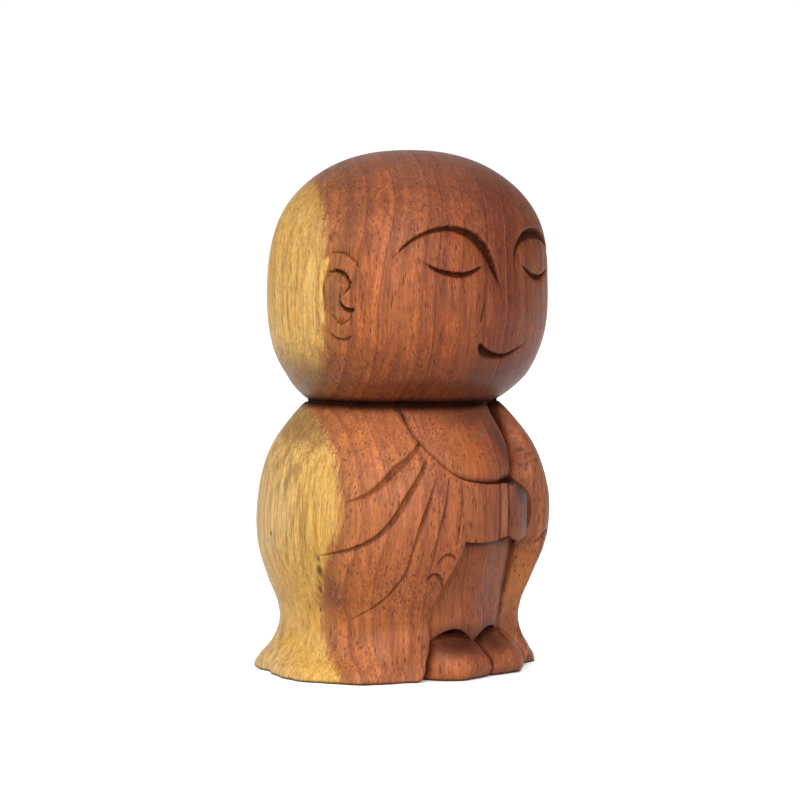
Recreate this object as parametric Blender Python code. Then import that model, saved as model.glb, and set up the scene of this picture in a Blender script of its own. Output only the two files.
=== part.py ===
"""Carved wooden monk figurine, one solid piece.

Millimetres while it is shaped, metres at the end. +Z is up, the figure faces -Y and +X is
the figure's left. Inside this file a place on the surface is given as (angle, height):
the angle is taken about the upright axis, 0 at the front and positive to the figure's left.
"Forward" F is -Y.
"""
import bpy
import bmesh
import math
from mathutils import Vector

MM = 0.001

# waxed red-brown heartwood
WOOD_COLOUR, WOOD_ROUGHNESS, WOOD_METALLIC = (0.33, 0.125, 0.05, 1.0), 0.45, 0.0

# ---- whole figure ---------------------------------------------------------------------
NODE = "monk_figurine"
HEIGHT = 150.0
PLAN_EXP = 2.2                  # every level section is a superellipse
WIDE, DEEP = 0.9837, 0.9551     # half width and half depth per unit of station size
SEGMENTS = 56

# cloaked body: (height, station size)
BODY = [(0.0, 41.0), (2.6, 40.2), (6.0, 37.7), (10.0, 35.5), (14.5, 34.6), (19.0, 35.4),
        (25.7, 38.2), (36.0, 41.6), (46.5, 42.3), (57.0, 40.7), (66.0, 37.1), (72.5, 32.3),
        (76.8, 28.3)]
BODY_TOP = 78.0
BODY_RINGS = 22
LEAN = [(0.0, -1.6), (15.0, -0.8), (50.0, 1.0), (77.0, 0.4), (85.0, 2.4), (150.0, 2.8)]
CORNER_TRIM = 0.115             # the right drape's front corner is cut back at the ground

# round head
HEAD_Z, HEAD_UP, HEAD_DOWN = 108.0, 42.0, 36.3
HEAD_SIZE, HEAD_EXP = 41.0, 2.5
HEAD_RINGS = 24

# bare chest between the lapels: (height, centre forward, half width, half depth)
CHEST_X = -2.5
CHEST = [(50.0, 24.5, 17.0, 12.5), (59.0, 24.0, 17.6, 14.0), (67.0, 20.5, 19.4, 14.0),
         (75.0, 17.0, 17.9, 12.0), (81.0, 15.0, 17.0, 11.0)]
LAPEL = [(-22.5, 81.0), (-20.3, 76.0), (-20.0, 67.5), (-15.5, 60.4), (-11.0, 57.4),
         (-4.0, 55.6), (4.0, 55.4), (8.5, 56.8), (11.6, 60.5), (15.0, 67.0), (15.3, 75.0),
         (17.0, 81.0)]

# inner robe between the drapes: (height, right edge X, left edge X, forward at the middle)
ROBE = [(-1.0, -22.4, 17.0, 29.0), (4.0, -19.4, 15.0, 29.0), (11.9, -17.6, 13.6, 29.4),
        (17.5, -17.8, 13.7, 29.7), (23.5, -17.9, 13.7, 30.6), (31.0, -16.3, 13.6, 32.7),
        (38.0, -14.2, 13.4, 34.6), (39.7, -14.0, 13.2, 35.0)]
ROBE_CROWN = 3.0                # how far the robe falls away at 13 mm from the middle

# flat cut on the left cloak, from beside the hands to its ridge:
# (height, inner X, inner forward, ridge angle)
LEFT_CUT = [(-1.0, 16.0, 26.0, 31.0), (11.9, 12.8, 26.3, 30.0),
            (21.0, 13.2, 28.4, 30.0), (31.0, 13.1, 30.5, 28.0),
            (37.0, 12.8, 32.0, 27.0), (39.9, 7.6, 33.5, 27.0),
            (41.4, 10.6, 33.8, 27.0), (43.2, 11.9, 34.2, 27.0),
            (52.3, 12.0, 34.6, 27.0), (54.2, 10.4, 35.2, 26.0),
            (55.6, 7.4, 36.4, 24.0), (58.5, 9.8, 36.6, 22.0),
            (61.5, 12.4, 37.0, 20.0)]

# hollow under the hem, seen from the front: two arches that meet in a point (X, height)
HEM = [(-22.4, -1.0), (-19.6, 4.0), (-17.8, 9.5), (-15.5, 12.0), (-12.0, 13.5), (-8.5, 14.0),
       (-5.0, 13.0), (-2.0, 11.0), (0.0, 10.0), (2.0, 11.5), (5.0, 13.5), (8.0, 14.5),
       (11.0, 13.5), (12.5, 11.0), (13.5, 9.0), (15.5, 4.0), (17.2, -1.0)]
HEM_BACK = 20.0                 # how deep the hollow runs, as forward

# feet: (height, share of the half width, rear forward, front forward)
FOOT = [(0.0, 0.90, 15.0, 33.0), (1.2, 0.98, 15.0, 34.6), (4.6, 1.00, 15.0, 36.0),
        (6.4, 0.97, 15.0, 35.0), (8.6, 0.88, 15.0, 32.6), (10.4, 0.70, 15.0, 29.6),
        (11.6, 0.45, 15.0, 26.5)]
FOOT_RIGHT, FOOT_LEFT = (-10.0, 9.6), (8.7, 8.2)   # centre X, half width
FOOT_TURN = 4.0                 # degrees each toe turns outwards

# V-cuts: name, on both sides of the figure, depth, [(angle, height, width), ...]
CUTS = [
    ("fold_1", False, 1.10, [(-38.5, 67.0, 0.8), (-43.5, 63.5, 1.7), (-50.0, 60.0, 2.3),
                             (-56.0, 55.5, 1.7), (-65.0, 51.5, 0.4)]),
    ("fold_2", False, 1.00, [(-36.0, 62.5, 0.8), (-40.0, 57.5, 1.7), (-45.0, 52.0, 1.7),
                             (-50.0, 46.0, 1.5), (-57.0, 41.0, 1.2), (-66.0, 38.0, 1.0),
                             (-79.0, 36.0, 0.3)]),
    ("fold_3", False, 0.80, [(-32.5, 57.5, 0.5), (-38.0, 46.5, 1.3), (-41.5, 38.0, 1.0),
                             (-44.0, 31.5, 0.7), (-50.0, 25.5, 0.7), (-57.0, 21.5, 0.6),
                             (-67.0, 18.0, 0.3)]),
    ("fold_4", False, 0.70, [(-27.0, 57.5, 0.6), (-29.0, 50.0, 1.1), (-32.0, 41.5, 0.8),
                             (-34.0, 31.5, 0.3)]),
    ("cuff_seam", False, 0.90, [(-21.0, 57.0, 0.6), (-21.5, 51.5, 1.1), (-22.5, 45.0, 1.1),
                                (-23.5, 39.0, 1.2)]),
    ("left_fold_1", False, 1.00, [(62.0, 60.0, 0.4), (68.0, 56.0, 1.5), (77.0, 52.0, 1.8),
                                  (88.0, 50.0, 0.3)]),
    ("left_fold_2", False, 0.90, [(60.0, 44.5, 0.4), (67.0, 40.0, 1.2), (79.0, 37.0, 1.4),
                                  (92.0, 35.0, 0.3)]),
    ("hand_seam_right", False, 0.80, [(-1.5, 56.0, 0.7), (-1.5, 47.0, 0.8), (-1.5, 39.0, 0.9)]),
    ("hand_seam_left", False, 0.70, [(4.5, 56.0, 0.6), (4.5, 47.0, 0.7), (4.5, 39.0, 0.8)]),
    ("brow_right", False, 1.15, [(-51.0, 119.5, 0.3), (-45.0, 123.5, 1.2), (-36.0, 126.5, 1.4),
                                 (-27.5, 127.0, 1.8), (-18.0, 125.5, 2.2), (-11.5, 122.5, 2.3),
                                 (-8.5, 118.5, 1.6), (-5.5, 112.0, 0.3)]),
    ("brow_left", False, 1.15, [(5.0, 114.5, 0.3), (6.5, 121.0, 1.2), (12.5, 124.5, 1.9),
                                (20.0, 126.5, 2.1), (29.0, 126.5, 1.9), (39.0, 124.0, 1.2),
                                (48.0, 120.0, 0.3)]),
    ("lash_right", False, 0.95, [(-39.0, 117.5, 0.3), (-33.0, 115.5, 1.2), (-26.0, 114.5, 1.5),
                                 (-19.0, 115.0, 1.2), (-12.5, 117.0, 0.3)]),
    ("lash_left", False, 0.95, [(10.0, 117.0, 0.3), (16.0, 115.0, 1.3), (23.0, 114.0, 1.6),
                                (30.0, 114.5, 1.2), (37.0, 117.0, 0.3)]),
    ("nose_cut", False, 0.45, [(-12.0, 107.5, 0.3), (-13.5, 104.0, 0.6), (-14.5, 101.5, 0.5)]),
    ("mouth", False, 1.00, [(-13.5, 94.0, 0.7), (-9.0, 92.0, 1.8), (-3.5, 91.0, 1.7),
                            (4.0, 91.0, 1.1), (11.0, 93.0, 0.7), (17.0, 94.5, 0.3)]),
    ("ear_top", True, 0.80, [(-79.5, 120.0, 0.3), (-74.5, 120.5, 0.9), (-69.5, 119.0, 0.9),
                             (-65.0, 116.0, 0.3)]),
    ("ear_bottom", True, 0.80, [(-81.0, 100.0, 0.3), (-76.5, 97.0, 1.2), (-72.0, 96.0, 1.0),
                                (-67.5, 97.5, 0.3)]),
    ("ear_notch", True, 1.00, [(-73.0, 107.0, 0.3), (-70.5, 105.0, 1.4), (-66.5, 105.0, 0.4)]),
]
LIFT = 0.5                      # how far each V-cut reaches out of the wood

# shell of each ear: outline of the hollow on the right ear (angle, height), and its depth
EAR_HOLLOW = [(-78.5, 115.0), (-75.5, 115.5), (-71.5, 115.0), (-69.0, 112.5), (-69.5, 110.0),
              (-73.0, 107.5), (-72.5, 105.0), (-69.0, 104.0), (-70.0, 101.0), (-74.0, 100.5),
              (-78.0, 104.0), (-80.5, 108.0), (-80.5, 112.0)]
EAR_DEPTH = 1.3


# ---- small helpers --------------------------------------------------------------------
def lerp_table(table, z, column=1):
    """Straight-line reading of a table whose first column is the height."""
    if z <= table[0][0]:
        return table[0][column]
    for low, high in zip(table, table[1:]):
        if z <= high[0]:
            t = (z - low[0]) / (high[0] - low[0])
            return low[column] + t * (high[column] - low[column])
    return table[-1][column]


def smooth_table(table, z):
    """The same with rounded stations."""
    n = len(table)
    z = min(max(z, table[0][0]), table[-1][0])
    gap = [table[i + 1][0] - table[i][0] for i in range(n - 1)]
    rise = [(table[i + 1][1] - table[i][1]) / gap[i] for i in range(n - 1)]
    slope = [rise[0]] + [(rise[i - 1] * gap[i] + rise[i] * gap[i - 1]) / (gap[i] + gap[i - 1])
                         for i in range(1, n - 1)] + [rise[-1]]
    i = 0
    while i < n - 2 and z > table[i + 1][0]:
        i += 1
    t = (z - table[i][0]) / gap[i]
    a, b = table[i][1], table[i + 1][1]
    return ((2 * t**3 - 3 * t**2 + 1) * a + (t**3 - 2 * t**2 + t) * gap[i] * slope[i]
            + (-2 * t**3 + 3 * t**2) * b + (t**3 - t**2) * gap[i] * slope[i + 1])


def ease(low, high, v):
    t = min(max((v - low) / (high - low), 0.0), 1.0)
    return t * t * (3 - 2 * t)


def plan_reach(angle, size):
    """Distance from the axis to the section's edge."""
    s, c = abs(math.sin(angle)), abs(math.cos(angle))
    return 1.0 / ((s / (WIDE * size))**PLAN_EXP + (c / (DEEP * size))**PLAN_EXP)**(1 / PLAN_EXP)


def body_point(degrees, z):
    angle = math.radians(degrees)
    r = plan_reach(angle, smooth_table(BODY, z))
    trim = ease(-62.0, -38.0, degrees) * (1 - ease(2.0, 13.0, z)) if degrees < 0 else 0.0
    r *= 1 - CORNER_TRIM * trim
    return Vector((r * math.sin(angle), -(lerp_table(LEAN, z) + r * math.cos(angle)), z))


def head_size(z):
    half = HEAD_UP if z > HEAD_Z else HEAD_DOWN
    part = min(abs(z - HEAD_Z) / half, 1.0)
    return HEAD_SIZE * (1 - part**HEAD_EXP)**(1 / HEAD_EXP)


def head_point(degrees, z):
    angle = math.radians(degrees)
    r = plan_reach(angle, head_size(z)) if head_size(z) > 0 else 0.0
    return Vector((r * math.sin(angle), -(lerp_table(LEAN, z) + r * math.cos(angle)), z))


def skin_point(degrees, z):
    return head_point(degrees, z) if z > BODY_TOP else body_point(degrees, z)


def skin_normal(degrees, z):
    du = skin_point(degrees + 0.5, z) - skin_point(degrees - 0.5, z)
    dv = skin_point(degrees, z + 0.2) - skin_point(degrees, z - 0.2)
    return du.cross(dv).normalized()


def mesh_object(name, bm):
    bmesh.ops.recalc_face_normals(bm, faces=bm.faces)
    if bm.calc_volume(signed=True) < 0:
        bmesh.ops.reverse_faces(bm, faces=bm.faces)
    mesh = bpy.data.meshes.new(name)
    bm.to_mesh(mesh)
    bm.free()
    obj = bpy.data.objects.new(name, mesh)
    bpy.context.scene.collection.objects.link(obj)
    return obj


def loft(name, rings):
    """Closed solid through rings of equally many points; a ring of one point is a tip."""
    bm = bmesh.new()
    rows = [[bm.verts.new(p) for p in ring] for ring in rings]
    for low, high in zip(rows, rows[1:]):
        count = max(len(low), len(high))
        for i in range(count):
            j = (i + 1) % count
            if len(low) == 1:
                bm.faces.new((low[0], high[i], high[j]))
            elif len(high) == 1:
                bm.faces.new((low[i], low[j], high[0]))
            else:
                bm.faces.new((low[i], low[j], high[j], high[i]))
    for row in (rows[0], rows[-1]):
        if len(row) > 2:
            bm.faces.new(row)
    return mesh_object(name, bm)


def boolean(target, tool, operation):
    modifier = target.modifiers.new(operation, "BOOLEAN")
    modifier.operation = operation
    modifier.solver = "EXACT"
    modifier.object = tool
    graph = bpy.context.evaluated_depsgraph_get()
    mesh = bpy.data.meshes.new_from_object(target.evaluated_get(graph))
    target.modifiers.clear()
    old = target.data
    target.data = mesh
    bpy.data.meshes.remove(old)
    bpy.data.objects.remove(tool, do_unlink=True)
    return target


def curve_through(points, per_span):
    """Catmull-Rom through tuples of numbers."""
    out = []
    for i in range(len(points) - 1):
        p0 = points[max(i - 1, 0)]
        p1, p2 = points[i], points[i + 1]
        p3 = points[min(i + 2, len(points) - 1)]
        for k in range(per_span):
            t = k / per_span
            out.append(tuple(0.5 * (2 * b + (c - a) * t + (2 * a - 5 * b + 4 * c - d) * t**2
                                    + (3 * b - a - 3 * c + d) * t**3)
                             for a, b, c, d in zip(p0, p1, p2, p3)))
    out.append(points[-1])
    return out


# ---- solids ---------------------------------------------------------------------------
def make_body():
    rings = []
    for k in range(BODY_RINGS + 1):
        z = BODY_TOP * k / BODY_RINGS
        rings.append([body_point(360.0 * i / SEGMENTS, z) if i <= SEGMENTS / 2
                      else body_point(360.0 * i / SEGMENTS - 360.0, z)
                      for i in range(SEGMENTS)])
    return loft("body", rings)


def make_head():
    rings = [[Vector((0, -lerp_table(LEAN, HEAD_Z - HEAD_DOWN), HEAD_Z - HEAD_DOWN))]]
    for k in range(1, HEAD_RINGS):
        turn = math.pi * (k / HEAD_RINGS - 0.5)
        half = HEAD_UP if turn > 0 else HEAD_DOWN
        z = HEAD_Z + half * math.copysign(abs(math.sin(turn))**(2 / HEAD_EXP), turn)
        rings.append([head_point(360.0 * i / SEGMENTS, z) for i in range(SEGMENTS)])
    rings.append([Vector((0, -lerp_table(LEAN, HEIGHT), HEIGHT))])
    return loft("head", rings)


def prism(name, outline, back, front):
    """Outline (X, height) drawn from the front, between two forward distances."""
    return loft(name, [[Vector((x, -back, z)) for x, z in outline],
                       [Vector((x, -front, z)) for x, z in outline]])


def make_chest():
    rings = []
    for z, centre, half_wide, half_deep in CHEST:
        rings.append([Vector((CHEST_X + half_wide * math.sin(t), -(centre + half_deep * math.cos(t)), z))
                      for t in [2 * math.pi * i / 32 for i in range(32)]])
    return loft("chest", rings)


def make_robe_cutter():
    rings = []
    for z, right, left, front in ROBE:
        ring = [Vector((right, -60.0, z))]
        for i in range(9):
            x = right + (left - right) * i / 8
            ring.append(Vector((x, -(front - ROBE_CROWN * (x / 13.0)**2), z)))
        ring.append(Vector((left, -60.0, z)))
        rings.append(ring)
    return loft("robe_cutter", rings)


def make_left_cutter():
    rings = []
    for z, x, f, ridge in LEFT_CUT:
        inner = Vector((x, -f, z))
        outer = body_point(ridge, max(z, 0.0))
        outer.z = z
        run = outer - inner
        tip = inner + run * 1.6
        rings.append([inner, tip, Vector((tip.x, -60.0, z)), Vector((x, -60.0, z))])
    return loft("left_cutter", rings)


def make_foot(name, place, turn_degrees):
    rings = []
    centre, widest = place
    turn = math.radians(turn_degrees)
    for z, share, back, front in FOOT:
        half = widest * share
        ring = []
        length = front - back
        for i in range(20):
            t = 2 * math.pi * i / 20
            s, c = math.sin(t), math.cos(t)
            x = half * math.copysign(abs(s)**0.75, s)
            f = length * 0.5 * math.copysign(abs(c)**0.75, c) + (back + front) / 2
            f0 = f - 20.0
            ring.append(Vector((centre + x * math.cos(turn) + f0 * math.sin(turn),
                                -(20.0 - x * math.sin(turn) + f0 * math.cos(turn)), z)))
        rings.append(ring)
    return loft(name, rings)


def make_v_cutter(name, path, depth, side):
    widest = max(p[2] for p in path)
    samples = curve_through(path, 2)
    places = [(skin_point(side * a, z), skin_normal(side * a, z), w) for a, z, w in samples]
    rings = []
    for i, (point, normal, width) in enumerate(places):
        ahead = places[min(i + 1, len(places) - 1)][0]
        behind = places[max(i - 1, 0)][0]
        along = (ahead - behind).normalized()
        across = normal.cross(along).normalized()
        deep = depth * min(max(width / widest, 0.22), 1.0)
        half = 0.5 * max(width, 0.22) * (1 + LIFT / deep)
        rings.append([point + across * half + normal * LIFT,
                      point - across * half + normal * LIFT,
                      point - normal * deep])
    return loft(name, rings)


def make_ear_cutter(side):
    centre_a = sum(p[0] for p in EAR_HOLLOW) / len(EAR_HOLLOW)
    centre_z = sum(p[1] for p in EAR_HOLLOW) / len(EAR_HOLLOW)
    outer, inner = [], []
    for a, z in EAR_HOLLOW:
        point, normal = skin_point(side * a, z), skin_normal(side * a, z)
        outer.append(point + normal * 1.5)
        a2 = centre_a + (a - centre_a) * 0.8
        z2 = centre_z + (z - centre_z) * 0.88
        inner.append(skin_point(side * a2, z2) - skin_normal(side * a2, z2) * EAR_DEPTH)
    return loft("ear_cutter", [outer, inner])


def make_wood():
    wood = bpy.data.materials.new("wood")
    wood.use_nodes = True
    shader = wood.node_tree.nodes["Principled BSDF"]
    shader.inputs["Base Color"].default_value = WOOD_COLOUR
    shader.inputs["Roughness"].default_value = WOOD_ROUGHNESS
    shader.inputs["Metallic"].default_value = WOOD_METALLIC
    return wood


def build():
    for obj in list(bpy.data.objects):
        bpy.data.objects.remove(obj, do_unlink=True)

    body = make_body()
    wedge = prism("wedge", LAPEL, 17.0, 50.0)
    boolean(wedge, make_chest(), "DIFFERENCE")
    boolean(body, wedge, "DIFFERENCE")
    boolean(body, make_robe_cutter(), "DIFFERENCE")
    boolean(body, make_left_cutter(), "DIFFERENCE")
    boolean(body, prism("hem", HEM, HEM_BACK, 60.0), "DIFFERENCE")
    boolean(body, make_foot("foot_right", FOOT_RIGHT, -FOOT_TURN), "UNION")
    boolean(body, make_foot("foot_left", FOOT_LEFT, FOOT_TURN), "UNION")
    boolean(body, make_head(), "UNION")

    for name, both, depth, path in CUTS:
        for side in ((1, -1) if both else (1,)):
            boolean(body, make_v_cutter(name, path, depth, side), "DIFFERENCE")
    for side in (1, -1):
        boolean(body, make_ear_cutter(side), "DIFFERENCE")

    # weld slivers, stand it on its underside and centre it on its footprint box
    bm = bmesh.new()
    bm.from_mesh(body.data)
    bmesh.ops.remove_doubles(bm, verts=bm.verts, dist=0.02)
    bmesh.ops.dissolve_degenerate(bm, edges=bm.edges, dist=0.02)
    bmesh.ops.triangulate(bm, faces=bm.faces)
    low = Vector([min(v.co[i] for v in bm.verts) for i in range(3)])
    high = Vector([max(v.co[i] for v in bm.verts) for i in range(3)])
    shift = Vector(((low.x + high.x) / 2, (low.y + high.y) / 2, low.z))
    for v in bm.verts:
        v.co = (v.co - shift) * MM
    bm.to_mesh(body.data)
    bm.free()
    body.name = NODE
    body.data.name = NODE
    body.data.shade_smooth()
    body.data.set_sharp_from_angle(angle=math.radians(35))
    body.data.materials.clear()
    body.data.materials.append(make_wood())
    print("size mm", [round(c, 3) for c in high - low], "shift mm", [round(c, 3) for c in shift],
          "triangles", len(body.data.polygons))


build()
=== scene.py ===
"""Looks of the carved wooden monk figurine.

The visible wood is one fine mesh around the plain solid. It is made here in millimetres from
the same dimensions: a signed field (negative in the wood) gives the broad carving, and V-cuts
with their own widths and depths are sunk into it along smooth paths. x is the figure's left,
y points backwards (the figure faces -y), z is up. A place on the surface is (angle, height),
the angle about the upright axis, 0 at the front and positive to the figure's left.
"""
import bpy
import math
import numpy as np
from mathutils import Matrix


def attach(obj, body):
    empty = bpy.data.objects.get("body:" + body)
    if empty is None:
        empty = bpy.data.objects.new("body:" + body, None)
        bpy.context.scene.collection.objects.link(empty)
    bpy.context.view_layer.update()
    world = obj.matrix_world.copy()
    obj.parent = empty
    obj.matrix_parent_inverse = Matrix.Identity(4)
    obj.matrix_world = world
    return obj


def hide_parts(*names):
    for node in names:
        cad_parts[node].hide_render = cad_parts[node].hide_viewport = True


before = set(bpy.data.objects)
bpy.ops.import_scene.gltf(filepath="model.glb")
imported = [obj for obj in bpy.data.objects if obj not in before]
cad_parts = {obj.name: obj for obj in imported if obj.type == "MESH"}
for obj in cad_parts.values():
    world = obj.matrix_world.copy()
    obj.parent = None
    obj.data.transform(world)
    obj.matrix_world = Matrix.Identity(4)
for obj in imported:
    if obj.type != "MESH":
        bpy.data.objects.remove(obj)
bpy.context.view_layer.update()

MM = 0.001
SHIFT_Y = 0.471                 # the footprint box's middle lies this far in front of the axis

# ======================================================================== dimensions, mm
PLAN_EXP, WIDE, DEEP = 2.2, 0.9837, 0.9551
BODY = [(0.0, 41.0), (2.6, 40.2), (6.0, 37.7), (10.0, 35.5), (14.5, 34.6), (19.0, 35.4),
        (25.7, 38.2), (36.0, 41.6), (46.5, 42.3), (57.0, 40.7), (66.0, 37.1), (72.5, 32.3),
        (76.8, 28.3), (79.0, 25.6)]
BODY_TOP = 79.0
LEAN = [(0.0, -1.6), (15.0, -0.8), (50.0, 1.0), (77.0, 0.4), (85.0, 2.4), (150.0, 2.8)]
CORNER_TRIM = 0.115
HEAD_Z, HEAD_UP, HEAD_DOWN, HEAD_SIZE, HEAD_EXP = 108.0, 42.0, 36.3, 40.7, 2.5
HEAD_SET = 0.25                 # the head sits this far to its left and forward

CHEST_X = -2.5
CHEST = [(50.0, 24.5, 17.0, 12.5), (59.0, 24.0, 17.6, 14.0), (67.0, 20.5, 19.4, 14.0),
         (75.0, 17.0, 17.9, 12.0), (81.0, 15.0, 17.0, 11.0)]
LAPEL = [(-20.0, 81.0), (-20.6, 78.0), (-21.9, 73.2), (-22.4, 69.9), (-22.2, 67.2),
         (-20.7, 63.9), (-17.6, 59.9), (-14.0, 57.3), (-8.7, 55.9), (-3.8, 55.4), (2.0, 55.5),
         (6.0, 56.0), (9.0, 57.6), (11.6, 60.8), (14.2, 66.0), (15.3, 72.0), (16.0, 77.0), (17.0, 81.0)]
ROBE = [(-1.0, -20.9, 17.0, 29.0), (4.0, -18.2, 15.0, 29.0), (11.9, -17.3, 13.6, 29.4),
        (17.5, -17.8, 13.7, 29.7), (23.5, -17.9, 13.7, 30.6), (31.0, -16.3, 13.6, 32.7),
        (38.0, -14.2, 13.4, 34.6), (39.7, -14.0, 13.2, 35.0)]
ROBE_CROWN = 3.0
ROBE_TOP = 39.7
LEFT_CUT = [(-1.0, 16.0, 26.0, 36.0), (11.9, 12.8, 26.3, 38.0),
            (21.0, 13.2, 28.4, 36.0), (31.0, 13.1, 30.5, 34.0), (37.0, 12.6, 32.2, 33.0),
            (38.6, 10.4, 33.4, 32.0), (39.3, 11.6, 34.4, 32.0), (40.2, 13.0, 35.2, 32.0),
            (41.4, 14.2, 35.7, 32.0), (43.0, 15.0, 36.0, 32.0), (45.0, 15.4, 36.2, 32.0),
            (48.2, 15.4, 36.2, 32.0), (50.6, 15.0, 36.1, 32.0), (52.2, 14.3, 35.8, 31.5),
            (53.6, 13.2, 35.1, 31.0), (54.6, 12.1, 34.4, 30.5), (55.6, 10.8, 33.4, 30.0),
            (56.4, 9.8, 32.5, 29.5), (57.5, 9.2, 31.2, 29.0), (60.0, 10.2, 29.4, 29.0),
            (64.0, 12.3, 28.0, 30.0), (68.0, 13.2, 26.2, 31.0), (74.0, 13.4, 23.4, 33.0),
            (78.0, 12.6, 21.6, 35.0), (82.0, 12.0, 20.5, 36.0)]
HEM = [(-21.0, -1.0), (-18.6, 3.0), (-17.5, 7.2), (-15.3, 10.2), (-12.0, 12.4), (-8.5, 13.7),
       (-5.5, 13.5), (-2.8, 11.8), (-0.4, 9.7), (1.6, 11.2), (4.2, 12.7), (7.2, 13.4),
       (10.2, 13.0), (12.2, 11.0), (13.5, 8.6), (15.5, 4.0), (17.2, -1.0)]
HEM_BACK = 20.0
FOOT_FRONT = [(-1.0, 33.3), (0.0, 33.9), (1.2, 34.9), (3.0, 35.4), (4.8, 35.7), (12.0, 36.0)]
FOOT_BACK = 13.0
# centre, half width, outer side (-1 right, 1 left), height at the toe edge, rise, crown
FEET = [(-6.9, 9.1, -1.0, 5.7, 0.80, 2.4), (11.8, 8.9, 1.0, 4.9, 0.74, 2.6)]

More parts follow.
